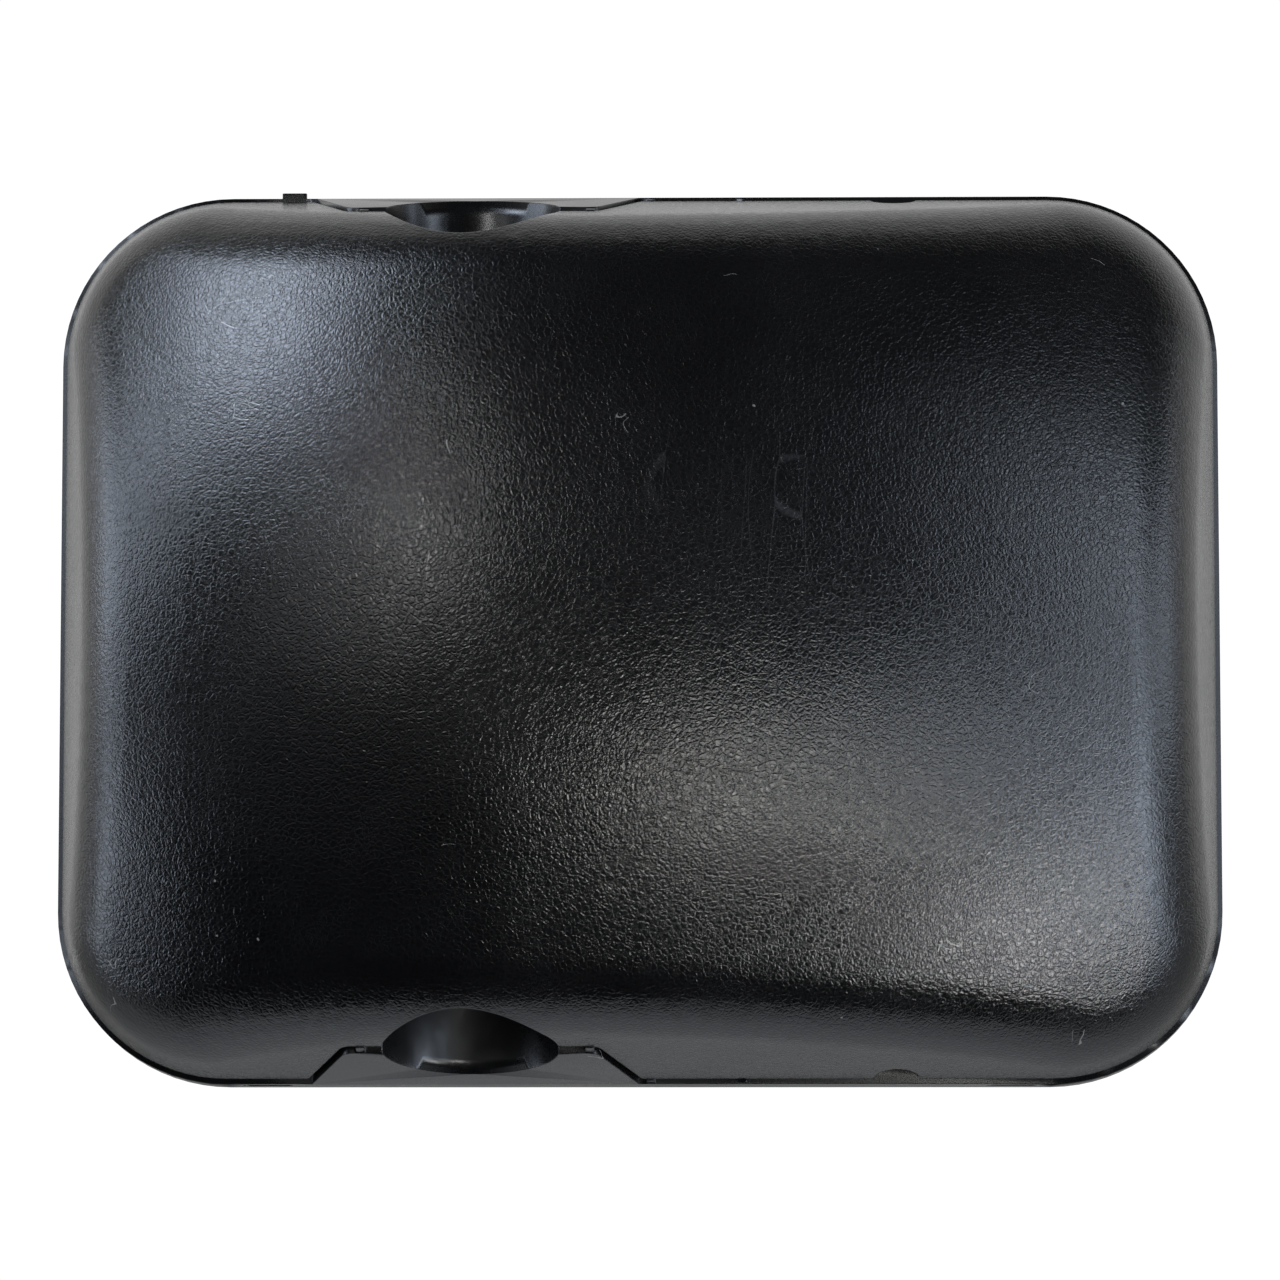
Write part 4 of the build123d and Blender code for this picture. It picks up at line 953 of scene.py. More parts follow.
@dataclass
class ScrewTree:
    """Screw or bolt with its head to the rear: knurled or domed head, driver recess and rolled thread.

    Attributes:
        around: Points round the shank; the head has three times as many.
        head_rows: Rows up the head's side.
        head_rings: Rings across the head's top.
        head_side: Share of the radius from which a point of the head is on its side.
        shank_side: Share of the radius from which a point of the shank is on its side.
        rows_per_turn: Rows of the shank in one turn of its thread.
        hexagon_span: Width across flats of a hexagon whose corners lie at 1.
        blade_share: Thickness of a cross blade as a share of its width.
        seed: Seed of the chance by which each screw is turned.
    """

    around: int = 40
    head_rows: int = 10
    head_rings: int = 6
    head_side: float = 0.995
    shank_side: float = 0.9
    rows_per_turn: float = 6.0
    hexagon_span: float = 1.732
    blade_share: float = 0.25
    seed: int = 7

    def build(self) -> NodeShape:
        """Builds the tree.

        Returns:
            The shape, ready to grow on points at the heads' seats.
        """
        inputs = {
            "Head Radius": (Kind.FLOAT, 5 * MM),
            "Head Height": (Kind.FLOAT, 6 * MM),
            "Head Crown": (Kind.FLOAT, 0.0),
            "Chamfer": (Kind.FLOAT, 0.5 * MM),
            "Knurls": (Kind.INT, 36),
            "Knurl Depth": (Kind.FLOAT, 0.15 * MM),
            "Shank Radius": (Kind.FLOAT, 3 * MM),
            "Length": (Kind.FLOAT, 20 * MM),
            "Thread Pitch": (Kind.FLOAT, 1 * MM),
            "Thread Depth": (Kind.FLOAT, 0.5 * MM),
            "Recess Width": (Kind.FLOAT, 5 * MM),
            "Recess Depth": (Kind.FLOAT, 3 * MM),
            "Cross Recess": (Kind.BOOL, False),
            "Seed": (Kind.INT, self.seed),
        }
        shape = NodeShape.start("threaded_screw", inputs)
        made = shape.made
        given = made.add("NodeGroupInput")
        parts = made.add("GeometryNodeJoinGeometry")
        made.tree.links.new(self.shank(made, given), parts.inputs[0])
        made.tree.links.new(self.head(made, given), parts.inputs[0])
        shape.stand(parts.outputs[0], given)
        return shape

    def polar(self, made: Tree) -> tuple[Socket, Socket, Socket, Socket]:
        """Reads where each point lies round the axis.

        Args:
            made: The tree to build in.

        Returns:
            Its angle, radius and height, and its direction across the axis.
        """
        place = made.add("GeometryNodeInputPosition").outputs[0]
        split = made.add("ShaderNodeSeparateXYZ", {0: place})
        angle = made.math("ARCTAN2", split.outputs["Y"], split.outputs["X"])
        flat = made.vector("MULTIPLY", place, (1.0, 1.0, 0.0)).outputs[0]
        radius = made.vector("LENGTH", flat).outputs["Value"]
        return angle, radius, split.outputs["Z"], made.vector("NORMALIZE", flat).outputs[0]

    def head(self, made: Tree, given: bpy.types.Node) -> Socket:
        """Head from its seat upwards, with its recess cut out.

        Args:
            made: The tree to build in.
            given: The Group Input node.

        Returns:
            The head's mesh.
        """
        radius, height = given.outputs["Head Radius"], given.outputs["Head Height"]
        body = made.add(
            "GeometryNodeMeshCylinder",
            {
                "Vertices": 3 * self.around,
                "Side Segments": self.head_rows,
                "Fill Segments": self.head_rings,
                "Radius": radius,
                "Depth": height,
            },
        )
        lifted = made.add(
            "GeometryNodeTransform",
            {"Geometry": body.outputs["Mesh"], "Translation": self.upright(made, height, 0.5)},
        )
        angle, reach, level, across = self.polar(made)
        ratio = made.math("DIVIDE", reach, radius)
        chamfer = given.outputs["Chamfer"]
        top = made.math("SUBTRACT", height, chamfer)
        cut = made.math("DIVIDE", made.math("SUBTRACT", level, top), chamfer, clamp=True)
        on_side = made.math("GREATER_THAN", ratio, self.head_side)
        knurl = made.math("COSINE", made.times(angle, given.outputs["Knurls"]))
        ridge = made.times(made.math("SUBTRACT", knurl, 1.0), given.outputs["Knurl Depth"])
        ridge = made.times(ridge, made.math("SUBTRACT", 1.0, cut))
        inward = made.math("MULTIPLY_ADD", cut, made.times(chamfer, -1.0), ridge)
        inward = made.times(inward, on_side)
        sag = made.times(made.times(ratio, ratio), given.outputs["Head Crown"])
        drop = made.times(made.math("DIVIDE", level, height), sag)
        fall = made.add("ShaderNodeCombineXYZ", {"Z": made.times(drop, -1.0)})
        slide = made.vector("SCALE", across, scale=inward).outputs[0]
        offset = made.vector("ADD", slide, fall.outputs[0]).outputs[0]
        formed = made.add("GeometryNodeSetPosition", {"Geometry": lifted.outputs[0], "Offset": offset})
        cutter = self.cutter(made, given)
        bored = made.add("GeometryNodeMeshBoolean", operation="DIFFERENCE", solver="EXACT")
        made.tree.links.new(formed.outputs[0], bored.inputs["Mesh 1"])
        made.tree.links.new(cutter, bored.inputs["Mesh 2"])
        return bored.outputs["Mesh"]

    def upright(self, made: Tree, height: Socket, factor: float) -> Socket:
        """Gives a move along the axis by factor times height."""
        return made.add("ShaderNodeCombineXYZ", {"Z": made.times(height, factor)}).outputs[0]

    def cutter(self, made: Tree, given: bpy.types.Node) -> Socket:
        """Solid that cuts the driver recess: a hexagon or a cross.

        Args:
            made: The tree to build in.
            given: The Group Input node.

        Returns:
            The cutter's mesh, centred on the head's top.
        """
        depth, width = given.outputs["Recess Depth"], given.outputs["Recess Width"]
        double = made.times(depth, 2.0)
        corner = made.math("DIVIDE", width, self.hexagon_span)
        hexagon = made.add("GeometryNodeMeshCylinder", {"Vertices": 6, "Radius": corner, "Depth": double})
        blade = made.times(width, self.blade_share)
        long_way = made.add("ShaderNodeCombineXYZ", {"X": width, "Y": blade, "Z": double})
        short_way = made.add("ShaderNodeCombineXYZ", {"X": blade, "Y": width, "Z": double})
        first = made.add("GeometryNodeMeshCube", {"Size": long_way.outputs[0]})
        second = made.add("GeometryNodeMeshCube", {"Size": short_way.outputs[0]})
        cross = made.add("GeometryNodeMeshBoolean", operation="UNION", solver="EXACT")
        made.tree.links.new(first.outputs["Mesh"], cross.inputs["Mesh 2"])
        made.tree.links.new(second.outputs["Mesh"], cross.inputs["Mesh 2"])
        chosen = made.add(
            "GeometryNodeSwitch",
            {
                "Switch": given.outputs["Cross Recess"],
                "False": hexagon.outputs["Mesh"],
                "True": cross.outputs["Mesh"],
            },
            input_type="GEOMETRY",
        )
        raised = made.add(
            "GeometryNodeTransform",
            {
                "Geometry": chosen.outputs[0],
                "Translation": self.upright(made, given.outputs["Head Height"], 1.0),
            },
        )
        return raised.outputs[0]

    def shank(self, made: Tree, given: bpy.types.Node) -> Socket:
        """Threaded shank from the seat downwards, with a chamfered end.

        Args:
            made: The tree to build in.
            given: The Group Input node.

        Returns:
            The shank's mesh.
        """
        length, pitch = given.outputs["Length"], given.outputs["Thread Pitch"]
        rows = made.times(made.math("DIVIDE", length, pitch), self.rows_per_turn)
        body = made.add(
            "GeometryNodeMeshCylinder",
            {
                "Vertices": self.around,
                "Side Segments": rows,
                "Fill Segments": 1,
                "Radius": given.outputs["Shank Radius"],
                "Depth": length,
            },
        )
        lowered = made.add(
            "GeometryNodeTransform",
            {"Geometry": body.outputs["Mesh"], "Translation": self.upright(made, length, -0.5)},
        )
        angle, reach, level, across = self.polar(made)
        phase = made.math("MULTIPLY_ADD", angle, 1 / (2 * pi), made.math("DIVIDE", level, pitch))
        wave = made.math("PINGPONG", phase, 0.5)
        cut = made.times(made.times(wave, 2.0), given.outputs["Thread Depth"])
        end = made.math("ADD", level, length)
        tip = made.math("SUBTRACT", 1.0, made.math("DIVIDE", end, pitch), clamp=True)
        taper = made.times(tip, given.outputs["Thread Depth"])
        side = made.times(given.outputs["Shank Radius"], self.shank_side)
        on_side = made.math("GREATER_THAN", reach, side)
        inward = made.times(made.math("MAXIMUM", cut, taper), on_side)
        offset = made.vector("SCALE", across, scale=made.times(inward, -1.0)).outputs[0]
        threaded = made.add("GeometryNodeSetPosition", {"Geometry": lowered.outputs[0], "Offset": offset})
        return threaded.outputs[0]


@dataclass
class SplitRingTree:
    """Spring washer: a flat-sided wire wound nearly once, with its ends a little apart.

    Attributes:
        resolution: Points round the ring.
        edge_radius: Rounding of the wire's edges.
        seed: Seed of the chance by which each ring is turned.
    """

    resolution: int = 64
    edge_radius: float = 0.12 * MM
    seed: int = 3

    def build(self) -> NodeShape:
        """Builds the tree.

        Returns:
            The shape, ready to grow on points at the washers' centres.
        """
        inputs = {
            "Radius": (Kind.FLOAT, 4.4 * MM),
            "Wire Width": (Kind.FLOAT, 2.2 * MM),
            "Wire Height": (Kind.FLOAT, 1.2 * MM),
            "Lift": (Kind.FLOAT, 0.3 * MM),
            "Turn": (Kind.FLOAT, 0.965),
            "Seed": (Kind.INT, self.seed),
        }
        shape = NodeShape.start("split_ring", inputs)
        made = shape.made
        given = made.add("NodeGroupInput")
        path = made.add(
            "GeometryNodeCurveSpiral",
            {
                "Resolution": self.resolution,
                "Rotations": given.outputs["Turn"],
                "Start Radius": given.outputs["Radius"],
                "End Radius": given.outputs["Radius"],
                "Height": given.outputs["Lift"],
            },
        )
        section = made.add(
            "GeometryNodeCurvePrimitiveQuadrilateral",
            {0: given.outputs["Wire Width"], 1: given.outputs["Wire Height"]},
        )
        rounded = made.add(
            "GeometryNodeFilletCurve",
            {"Curve": section.outputs[0], "Radius": self.edge_radius, "Count": 2},
            mode="POLY",
        )
        upright = made.add("GeometryNodeSetCurveNormal", {"Curve": path.outputs[0]}, mode="Z_UP")
        wire = made.add(
            "GeometryNodeCurveToMesh",
            {"Curve": upright.outputs[0], "Profile Curve": rounded.outputs[0], "Fill Caps": True},
        )
        centred = made.add("ShaderNodeCombineXYZ", {"Z": made.times(given.outputs["Lift"], -0.5)})
        lowered = made.add(
            "GeometryNodeTransform", {"Geometry": wire.outputs[0], "Translation": centred.outputs[0]}
        )
        shape.stand(lowered.outputs[0], given)
        return shape


@dataclass
class PaneTree:
    """Convex pane: a rounded rectangle bent to a sphere, with a ground edge, facing +Y.

    Attributes:
        around: Points round the edge.
        rings: Rings from the middle to the edge, on each face.
        corner_points: Points of each rounded corner.
    """

    around: int = 256
    rings: int = 40
    corner_points: int = 24

    def build(self) -> NodeShape:
        """Builds the tree.

        Returns:
            The shape, ready to grow on one point at the pane's foremost place.
        """
        inputs = {
            "Width": (Kind.FLOAT, 197 * MM),
            "Height": (Kind.FLOAT, 149 * MM),
            "Corner Radius": (Kind.FLOAT, 25 * MM),
            "Sphere Radius": (Kind.FLOAT, 1400 * MM),
            "Thickness": (Kind.FLOAT, 2.2 * MM),
            "Ground Edge": (Kind.FLOAT, 0.35 * MM),
        }
        shape = NodeShape.start("convex_pane", inputs)
        made = shape.made
        given = made.add("NodeGroupInput")
        rim = made.add(
            "GeometryNodeCurvePrimitiveQuadrilateral", {0: given.outputs["Width"], 1: given.outputs["Height"]}
        )
        outline = made.add(
            "GeometryNodeFilletCurve",
            {"Curve": rim.outputs[0], "Radius": given.outputs["Corner Radius"], "Count": self.corner_points},
            mode="POLY",
        )
        rows = 2 * self.rings + 3
        sheet = made.add(
            "GeometryNodeMeshGrid",
            {"Size X": 1.0, "Size Y": 1.0, "Vertices X": self.around + 1, "Vertices Y": rows + 1},
        )
        place = made.add("ShaderNodeSeparateXYZ", {0: made.add("GeometryNodeInputPosition").outputs[0]})
        share = made.math("ADD", place.outputs["X"], 0.5, clamp=True)
        row = made.times(made.math("ADD", place.outputs["Y"], 0.5), float(rows))
        row = made.math("ROUND", row)
        sampled = made.add("GeometryNodeSampleCurve", mode="FACTOR", use_all_curves=True)
        made.tree.links.new(outline.outputs[0], sampled.inputs["Curves"])
        made.tree.links.new(share, sampled.inputs["Factor"])
        edge = sampled.outputs["Position"]
        mirrored = made.math("MINIMUM", row, made.math("SUBTRACT", float(rows), row))
        ring = made.math("DIVIDE", mirrored, float(self.rings), clamp=True)
        on_edge = made.math("GREATER_THAN", mirrored, self.rings + 0.5)
        ground = given.outputs["Ground Edge"]
        far = made.vector("LENGTH", edge).outputs["Value"]
        shrink = made.math("SUBTRACT", 1.0, made.math("DIVIDE", ground, far))
        flat_share = made.times(ring, shrink)
        share_out = made.math("MULTIPLY_ADD", on_edge, made.math("SUBTRACT", 1.0, flat_share), flat_share)
        spread = made.vector("SCALE", edge, scale=share_out).outputs[0]
        rear = made.math("GREATER_THAN", row, self.rings + 1.5)
        side = made.math("MULTIPLY_ADD", rear, -2.0, 1.0)
        inner = made.times(side, made.times(on_edge, ground))
        depth = made.math("MULTIPLY_ADD", rear, given.outputs["Thickness"], inner)
        radius = given.outputs["Sphere Radius"]
        reach = made.vector("DOT_PRODUCT", spread, spread).outputs["Value"]
        under = made.math("SQRT", made.math("SUBTRACT", made.times(radius, radius), reach))
        fall = made.math("ADD", made.math("SUBTRACT", radius, under), depth)
        across = made.add("ShaderNodeSeparateXYZ", {0: spread})
        laid = made.add(
            "ShaderNodeCombineXYZ",
            {"X": across.outputs["X"], "Y": made.times(fall, -1.0), "Z": across.outputs["Y"]},
        )
        formed = made.add(
            "GeometryNodeSetPosition", {"Geometry": sheet.outputs[0], "Position": laid.outputs[0]}
        )
        merged = made.add(
            "GeometryNodeMergeByDistance", {"Geometry": formed.outputs[0], "Distance": PANE_MERGE_DISTANCE}
        )
        placed = made.add(
            "GeometryNodeInstanceOnPoints",
            {"Points": given.outputs["Geometry"], "Instance": merged.outputs[0]},
        )
        shape.close(placed.outputs[0], given)
        return shape


# ---- Sub-assemblies ----
@dataclass
class CoverUnit:
    """Rear cover with its spring clips."""

    crease: float = MOULDING_CREASE_ANGLE

    def build(self) -> None:
        """Builds the cover's shell and the clips."""
        refine("rear_cover", GRAINED_PLASTIC, Body.COVER, self.crease)
        refine("cover_clips", SPRING_STEEL, Body.COVER)


@dataclass
class FrameUnit:
    """Front frame with its brass inserts."""

    crease: float = MOULDING_CREASE_ANGLE

    def build(self) -> None:
        """Builds the frame and dresses the inserts."""
        refine("front_frame", SMOOTH_PLASTIC, Body.HEAD, self.crease)
        refine("threaded_inserts", BRASS, Body.HEAD)


@dataclass
class ClampUnit:
    """Cast saddle and yoke with the bolts, washers, nuts and screws that hold them.

    Attributes:
        screws: Shape of bolts and screws.
        rings: Shape of spring washers.
        bolt_pitch: Thread pitch of the M6 bolts.
        bolt_head_height: Height of a bolt's socket head.
        bolt_knurls: Ridges round a bolt's head.
        saddle_screw: Pitch, head height and thread radius of a saddle screw.
        plate_screw: Pitch, head height and thread radius of a plate screw.
        ring_bore_radius: Inner radius of a spring washer.
        ring_lift: How far a spring washer's ends stand apart, as a share of its height.
    """

    screws: NodeShape
    rings: NodeShape
    bolt_pitch: float = 1.0 * MM
    bolt_head_height: float = 6.0 * MM
    bolt_knurls: int = 40
    saddle_screw: tuple[float, float, float] = (0.7 * MM, 2.8 * MM, 2.0 * MM)
    plate_screw: tuple[float, float, float] = (1.25 * MM, 2.3 * MM, 1.5 * MM)
    ring_bore_radius: float = 3.3 * MM
    ring_lift: float = 0.16

    def build(self) -> None:
        """Builds every piece of the clamp."""
        for node in ("clamp_saddle", "clamp_yoke"):
            refine(node, CAST_ALUMINIUM, Body.HEAD)
        for node in ("clamp_washers", "clamp_nuts"):
            refine(node, ZINC_STEEL, Body.HEAD)
        self.bolts()
        self.spring_washers()
        self.cross_screws("saddle_screws", *self.saddle_screw)
        self.cross_screws("plate_screws", *self.plate_screw)

    def bolts(self) -> None:
        """Four socket-head bolts through the yoke and the saddle."""
        boxes = islands("clamp_bolts")
        head_height = self.bolt_head_height
        low, high = boxes[0]
        seats = [Vector(((a.x + b.x) / 2, a.y + head_height, (a.z + b.z) / 2)) for a, b in boxes]
        values = {
            "Head Radius": (high.x - low.x) / 2,
            "Head Height": head_height,
            "Length": high.y - low.y - head_height,
            "Thread Pitch": self.bolt_pitch,
            "Knurls": self.bolt_knurls,
        }
        piece = self.screws.grow("clamp_bolts_threaded", seats, values, ZINC_STEEL)
        settle(piece, ZINC_STEEL, Body.HEAD, "clamp_bolts")

    def cross_screws(self, node: str, pitch: float, head_height: float, shank_radius: float) -> None:
        """Pan-head screws with a cross recess.

        Args:
            node: The CAD node that they stand for.
            pitch: Thread pitch.
            head_height: Height of the head.
            shank_radius: Outer radius of the thread.
        """
        boxes = islands(node)
        low, high = boxes[0]
        radius = (high.x - low.x) / 2
        seats = [Vector(((a.x + b.x) / 2, a.y + head_height, (a.z + b.z) / 2)) for a, b in boxes]
        values = {
            "Head Radius": radius,
            "Head Height": head_height,
            "Head Crown": 0.45 * head_height,
            "Chamfer": 0.25 * head_height,
            "Knurl Depth": 0.0,
            "Shank Radius": shank_radius,
            "Length": high.y - low.y - head_height,
            "Thread Pitch": pitch,
            "Thread Depth": 0.3 * pitch + 0.1 * MM,
            "Recess Width": 1.05 * radius,
            "Recess Depth": 0.55 * head_height,
            "Cross Recess": True,
        }
        piece = self.screws.grow(node + "_threaded", seats, values, ZINC_STEEL)
        settle(piece, ZINC_STEEL, Body.HEAD, node)

    def spring_washers(self) -> None:
        """Split rings under the bolts' heads."""
        boxes = islands("clamp_spring_washers")
        low, high = boxes[0]
        outer = (high.x - low.x) / 2
        thickness = high.y - low.y
        width = outer - self.ring_bore_radius
        lift = self.ring_lift * thickness
        centres = [(a + b) / 2 for a, b in boxes]
        values = {
            "Radius": outer - width / 2,
            "Wire Width": width,
            "Wire Height": thickness - lift,
            "Lift": lift,
        }
        piece = self.rings.grow("clamp_spring_washers_wound", centres, values, ZINC_STEEL)
        settle(piece, ZINC_STEEL, Body.HEAD, "clamp_spring_washers")


class BarrelUnit:
    """Split barrel that tilts in the clamp, with the dowels that align its halves."""

    def build(self) -> None:
        """Builds both halves and the dowels."""
        refine("barrel_half_front", BARREL_NYLON, Body.BARREL)
        refine("barrel_half_rear", BARREL_NYLON, Body.BARREL)
        refine("barrel_dowels", PIN_STEEL, Body.BARREL)


class SleeveUnit:
    """Split sleeve that lines the clamp on the tube."""

    def build(self) -> None:
        """Builds both halves."""
        refine("sleeve_half_front", SLEEVE_ACETAL, Body.SLEEVE)
        refine("sleeve_half_rear", SLEEVE_ACETAL, Body.SLEEVE)


@dataclass
class GlassUnit:
    """Backing plate, adhesive pad, convex glass and the gasket round it.

    Attributes:
        panes: Shape of the glass.
        sphere_radius: Radius of the convex face.
        thickness: Thickness of the glass.
        corner_radius: Radius of its corners.
    """

    panes: NodeShape
    sphere_radius: float = 1400 * MM
    thickness: float = 2.2 * MM
    corner_radius: float = 25.5 * MM

    def build(self) -> None:
        """Builds the glass pack from the back to the front."""
        refine("glass_backing_plate", FILLED_PLASTIC, Body.HEAD)
        refine("adhesive_pad", FOAM_TAPE, Body.HEAD)
        refine("edge_gasket", GASKET_RUBBER, Body.HEAD)
        self.glass()

    def glass(self) -> None:
        """The convex mirror glass with its ground edge."""
        low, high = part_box("mirror_glass")
        front = Vector(((low.x + high.x) / 2, high.y, (low.z + high.z) / 2))
        values = {
            "Width": high.x - low.x,
            "Height": high.z - low.z,
            "Corner Radius": self.corner_radius,
            "Sphere Radius": self.sphere_radius,
            "Thickness": self.thickness,
        }
        piece = self.panes.grow("mirror_glass_ground", [front], values, MIRROR_GLASS)
        settle(piece, MIRROR_GLASS, Body.HEAD, "mirror_glass")


# ---- Studio ----
COOL: Colour = (0.74, 0.84, 1.0)
WARM: Colour = (1.0, 1.0, 0.95)


@dataclass(frozen=True)
class Lamp:
    """A round or oval soft lamp aimed at the head.

    Attributes:
        azimuth: Degrees round from the rear, positive towards the long end.
        elevation: Degrees above the horizon.
        size: Width in metres.
        power: Watts.
        tint: Colour of the light.
        distance: Metres from the head.
        height: Height in metres, if it differs from the width.
    """

    azimuth: float
    elevation: float
    size: float
    power: float
    tint: Colour = (1.0, 1.0, 1.0)
    distance: float = 1.5
    height: float | None = None


def direction(azimuth: float, elevation: float) -> Vector:
    """Unit vector from the head towards an azimuth and elevation in degrees."""
    across, up = radians(azimuth), radians(elevation)
    return Vector((sin(across) * cos(up), -cos(across) * cos(up), sin(up)))


@dataclass
class Studio:
    """Camera, pale floor, white surroundings and soft lamps.

    Attributes:
        azimuth: Degrees that the camera stands round from the rear, towards the long end.
        elevation: Degrees that it stands above the horizon.
        distance: Metres from the camera to its aim.
        aim: Point that the camera looks at.
        lamp_aim: Point that the lamps face.
        floor_level: Height of the floor.
        floor_radius: Radius of the floor.
        floor_lift: Light that the floor adds where the camera sees it.
        flag_level: Height of the black flag.
        flag_box: Left, right, rear and front edge of the flag.
        frame_width: Width of the view, in metres, at the cover's widest place.
        frame_reach: How far that place lies beyond the aim, in metres.
        sensor: Width of the camera's sensor, in millimetres.
        surround: Strength of the surroundings in front of the glass.
        ambient: Strength of the surroundings behind the cover.
        fade: Directions along Y between which the one fades to the other.
        sky: Factors of the surroundings below and above.
        backdrop: Strength of the surroundings where the camera sees them.
        lamps: The lamps.
    """

    azimuth: float = 1.0
    elevation: float = -5.5
    distance: float = 1.0
    aim: tuple[float, float, float] = (0.0295, 0.0, -0.0024)
    lamp_aim: tuple[float, float, float] = (0.03, 0.0, 0.0)
    floor_level: float = -1.3
    floor_radius: float = 12.0
    floor_lift: float = 0.5
    flag_level: float = -1.2
    flag_box: tuple[float, float, float, float] = (-5.0, 5.0, -5.0, 0.02)
    frame_width: float = 0.2302
    frame_reach: float = 0.029
    sensor: float = 36.0
    surround: float = 0.75
    ambient: float = 0.045
    fade: tuple[float, float] = (-0.1, 0.5)
    sky: tuple[float, float] = (0.8, 1.1)
    backdrop: float = 1.05
    lamps: tuple[Lamp, ...] = (
        Lamp(-57, 41, 0.45, 7.2, COOL),
        Lamp(-57, 57, 0.5, 2.4, COOL, height=0.3),
        Lamp(-75, 45, 0.5, 3.6, COOL),
        Lamp(-65, 28, 0.45, 2.6, COOL),
        Lamp(-76, 14, 0.4, 3.2, COOL, height=0.7),
        Lamp(-95, 12, 0.6, 4.0, COOL),
        Lamp(-88, -14, 0.6, 4.0, COOL),
        Lamp(-44, 32, 0.3, 1.6, COOL),
        Lamp(-25, 33, 0.15, 0.8, height=0.3),
        Lamp(-19, 16, 0.1, 2.5, height=0.5),
        Lamp(-38, 10, 0.4, 0.6),
        Lamp(15, -18, 0.25, 3.4, WARM),
        Lamp(29, -23, 0.3, 1.2, WARM),
        Lamp(35, -10, 0.4, 1.8, COOL),
        Lamp(48, -36, 0.4, 6.0),
        Lamp(58, -22, 0.4, 3.4, COOL),
        Lamp(73, -24, 0.5, 3.0, COOL),
        Lamp(60, -7, 0.5, 3.8, COOL),
        Lamp(54, 12, 0.5, 3.6, COOL),
        Lamp(47, 26, 0.4, 0.9, COOL),
        Lamp(85, 5, 0.6, 3.2, COOL),
    )

    def build(self) -> None:
        """Sets up the whole studio."""
        self.world()
        self.floor()
        self.flag()
        self.camera()
        for number, lamp in enumerate(self.lamps):
            self.lamp(lamp, number)
        bpy.context.scene.view_settings.view_transform = "Standard"
        LOG.info("studio: %d lamps", len(self.lamps))

    def world(self) -> None:
        """White surroundings in front of the glass that fade to a dim room behind the cover."""
        world = bpy.data.worlds.new("studio_surround")
        bpy.context.scene.world = world
        world.use_nodes = True
        made = Tree(world.node_tree)
        background = world.node_tree.nodes["Background"]
        background.inputs["Color"].default_value = rgba((1.0, 1.0, 1.0))
        towards = made.add("ShaderNodeTexCoord").outputs["Generated"]
        split = made.add("ShaderNodeSeparateXYZ", {0: towards})
        glow = made.ramp(split.outputs["Y"], *self.fade, self.ambient, self.surround)
        sky = made.ramp(split.outputs["Z"], -0.5, 0.5, *self.sky)
        lit = made.times(glow, sky)
        seen = made.add("ShaderNodeLightPath").outputs["Is Camera Ray"]
        strength = made.math("MAXIMUM", lit, made.times(seen, self.backdrop))
        made.put(strength, background.inputs["Strength"])

    def floor(self) -> None:
        """Plain pale floor far enough below the head for a view from underneath."""
        mesh = bpy.data.meshes.new("studio_floor")
        shape = bmesh.new()
        bmesh.ops.create_circle(shape, cap_ends=True, segments=96, radius=self.floor_radius)
        for vert in shape.verts:
            vert.co.z = self.floor_level
        shape.to_mesh(mesh)
        shape.free()
        floor = link("studio_floor", mesh)
        material = bpy.data.materials.new("floor_paint")
        material.use_nodes = True
        made = Tree(material.node_tree)
        drift = made.add("ShaderNodeTexNoise", {"Scale": 0.8, "Detail": 3.0}).outputs[0]
        colour = made.mix(drift, rgba((0.8, 0.8, 0.79)), rgba((0.85, 0.85, 0.845)))
        shader = material.node_tree.nodes["Principled BSDF"]
        made.put(colour, shader.inputs["Base Color"])
        shader.inputs["Roughness"].default_value = 0.7
        seen = made.add("ShaderNodeLightPath").outputs["Is Camera Ray"]
        shader.inputs["Emission Color"].default_value = rgba((1.0, 1.0, 0.99))
        made.put(made.times(seen, self.floor_lift), shader.inputs["Emission Strength"])
        mesh.materials.append(material)

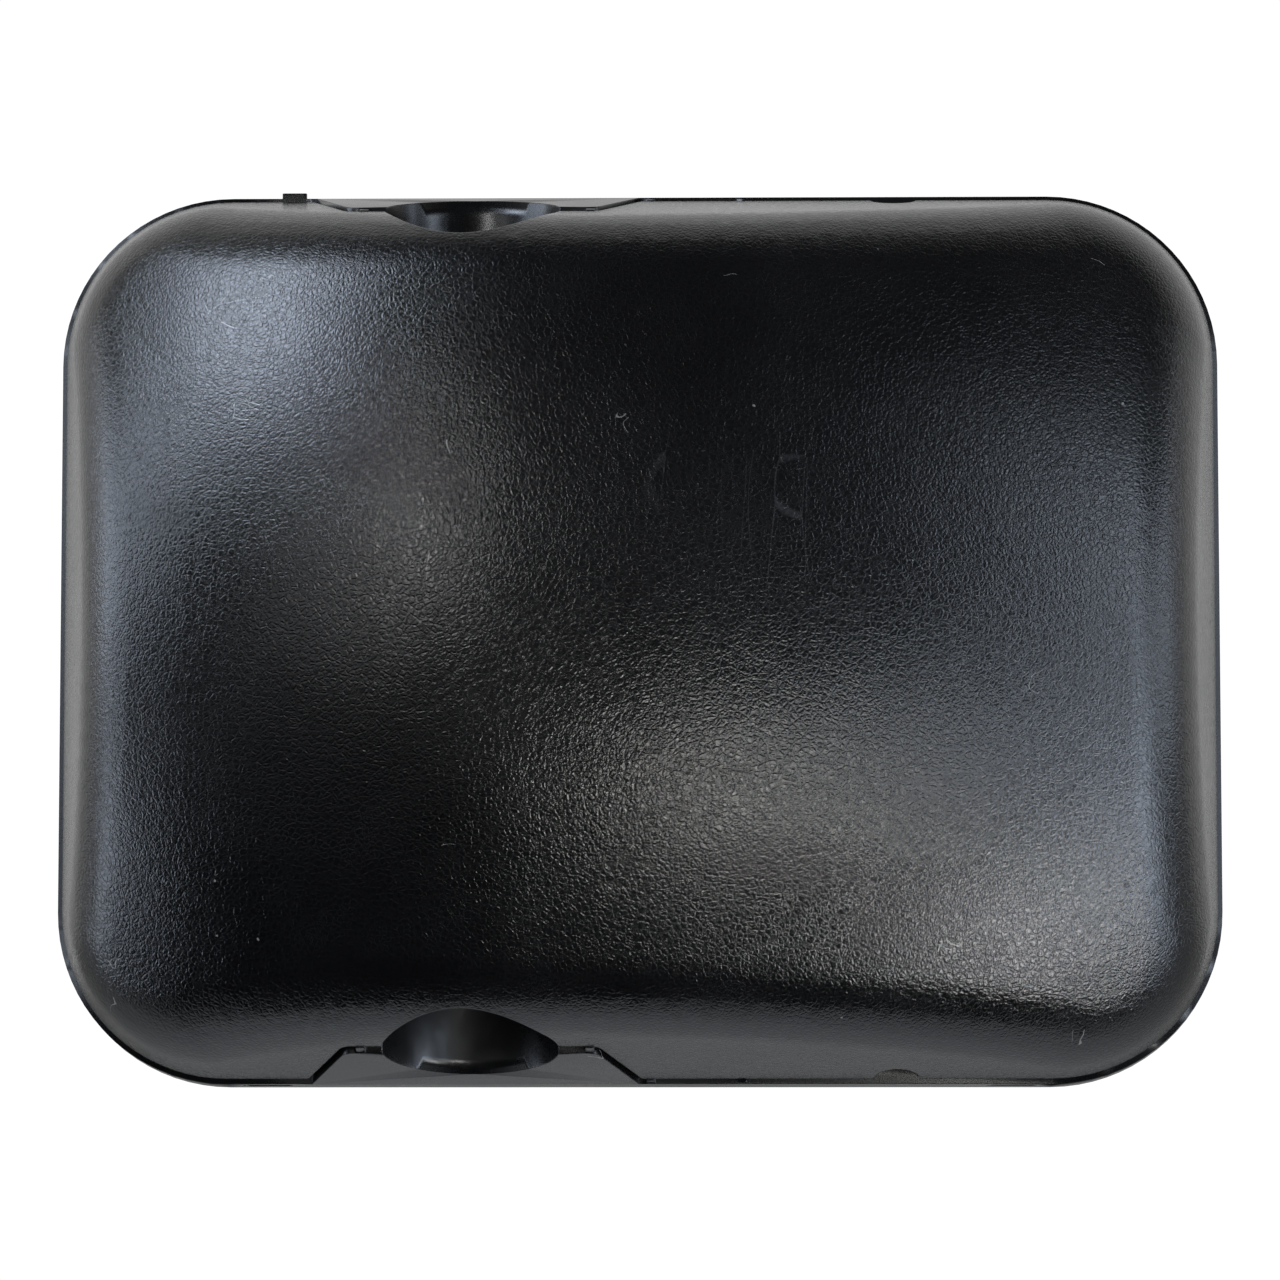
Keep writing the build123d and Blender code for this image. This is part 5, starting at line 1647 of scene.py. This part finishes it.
    def flag(self) -> None:
        """Black cloth over the floor on the cover's side, which only reflections can see."""
        left, right, back, front = self.flag_box
        corners = ((left, back), (right, back), (right, front), (left, front))
        mesh = bpy.data.meshes.new("studio_flag")
        mesh.from_pydata([(x, y, self.flag_level) for x, y in corners], [], [(0, 1, 2, 3)])
        flag = link("studio_flag", mesh)
        material = bpy.data.materials.new("flag_cloth")
        material.use_nodes = True
        made = Tree(material.node_tree)
        weave = made.add("ShaderNodeTexNoise", {"Scale": 40.0}).outputs[0]
        cloth = made.mix(weave, rgba((0.002, 0.002, 0.002)), rgba((0.004, 0.004, 0.004)))
        shader = material.node_tree.nodes["Principled BSDF"]
        made.put(cloth, shader.inputs["Base Color"])
        shader.inputs["Roughness"].default_value = 1.0
        shader.inputs["Specular IOR Level"].default_value = 0.0
        mesh.materials.append(material)
        flag.visible_camera = False
        flag.visible_diffuse = False
        flag.visible_shadow = False

    def camera(self) -> None:
        """Camera square to the cover and a little below it."""
        back = direction(self.azimuth, self.elevation)
        data = bpy.data.cameras.new("view")
        camera = bpy.data.objects.new("view", data)
        bpy.context.scene.collection.objects.link(camera)
        camera.location = Vector(self.aim) + back * self.distance
        camera.rotation_mode = "QUATERNION"
        camera.rotation_quaternion = (-back).to_track_quat("-Z", "Y")
        data.sensor_width = self.sensor
        data.lens = self.sensor * (self.distance + self.frame_reach) / self.frame_width
        data.clip_start, data.clip_end = 0.01, 100.0
        bpy.context.scene.camera = camera

    def lamp(self, lamp: Lamp, number: int) -> None:
        """Adds one lamp, aimed at the middle of the head.

        Args:
            lamp: The lamp.
            number: Its number, for its name.
        """
        data = bpy.data.lights.new(f"lamp_{number}", "AREA")
        data.shape = "ELLIPSE"
        data.size = lamp.size
        data.size_y = lamp.height or lamp.size
        data.energy = lamp.power
        data.color = lamp.tint
        holder = bpy.data.objects.new(f"lamp_{number}", data)
        bpy.context.scene.collection.objects.link(holder)
        towards = direction(lamp.azimuth, lamp.elevation)
        holder.location = Vector(self.lamp_aim) + towards * lamp.distance
        holder.rotation_mode = "QUATERNION"
        holder.rotation_quaternion = towards.to_track_quat("Z", "Y")


def clear_startup() -> None:
    """Removes the objects that Blender's start-up file brings."""
    kept = {*frame["nodes"].values(), *frame["bodies"].values()}
    for thing in list(bpy.data.objects):
        if thing not in kept:
            bpy.data.objects.remove(thing)


def main() -> None:
    """Builds the shader groups, every sub-assembly and the studio, in that order."""
    logging.basicConfig(level=logging.INFO, format="%(name)s: %(message)s")
    clear_startup()
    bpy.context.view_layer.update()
    SHADERS.build()
    CoverUnit().build()
    FrameUnit().build()
    ClampUnit(ScrewTree().build(), SplitRingTree().build()).build()
    BarrelUnit().build()
    SleeveUnit().build()
    GlassUnit(PaneTree().build()).build()
    Studio().build()


if __name__ == "__main__":
    main()
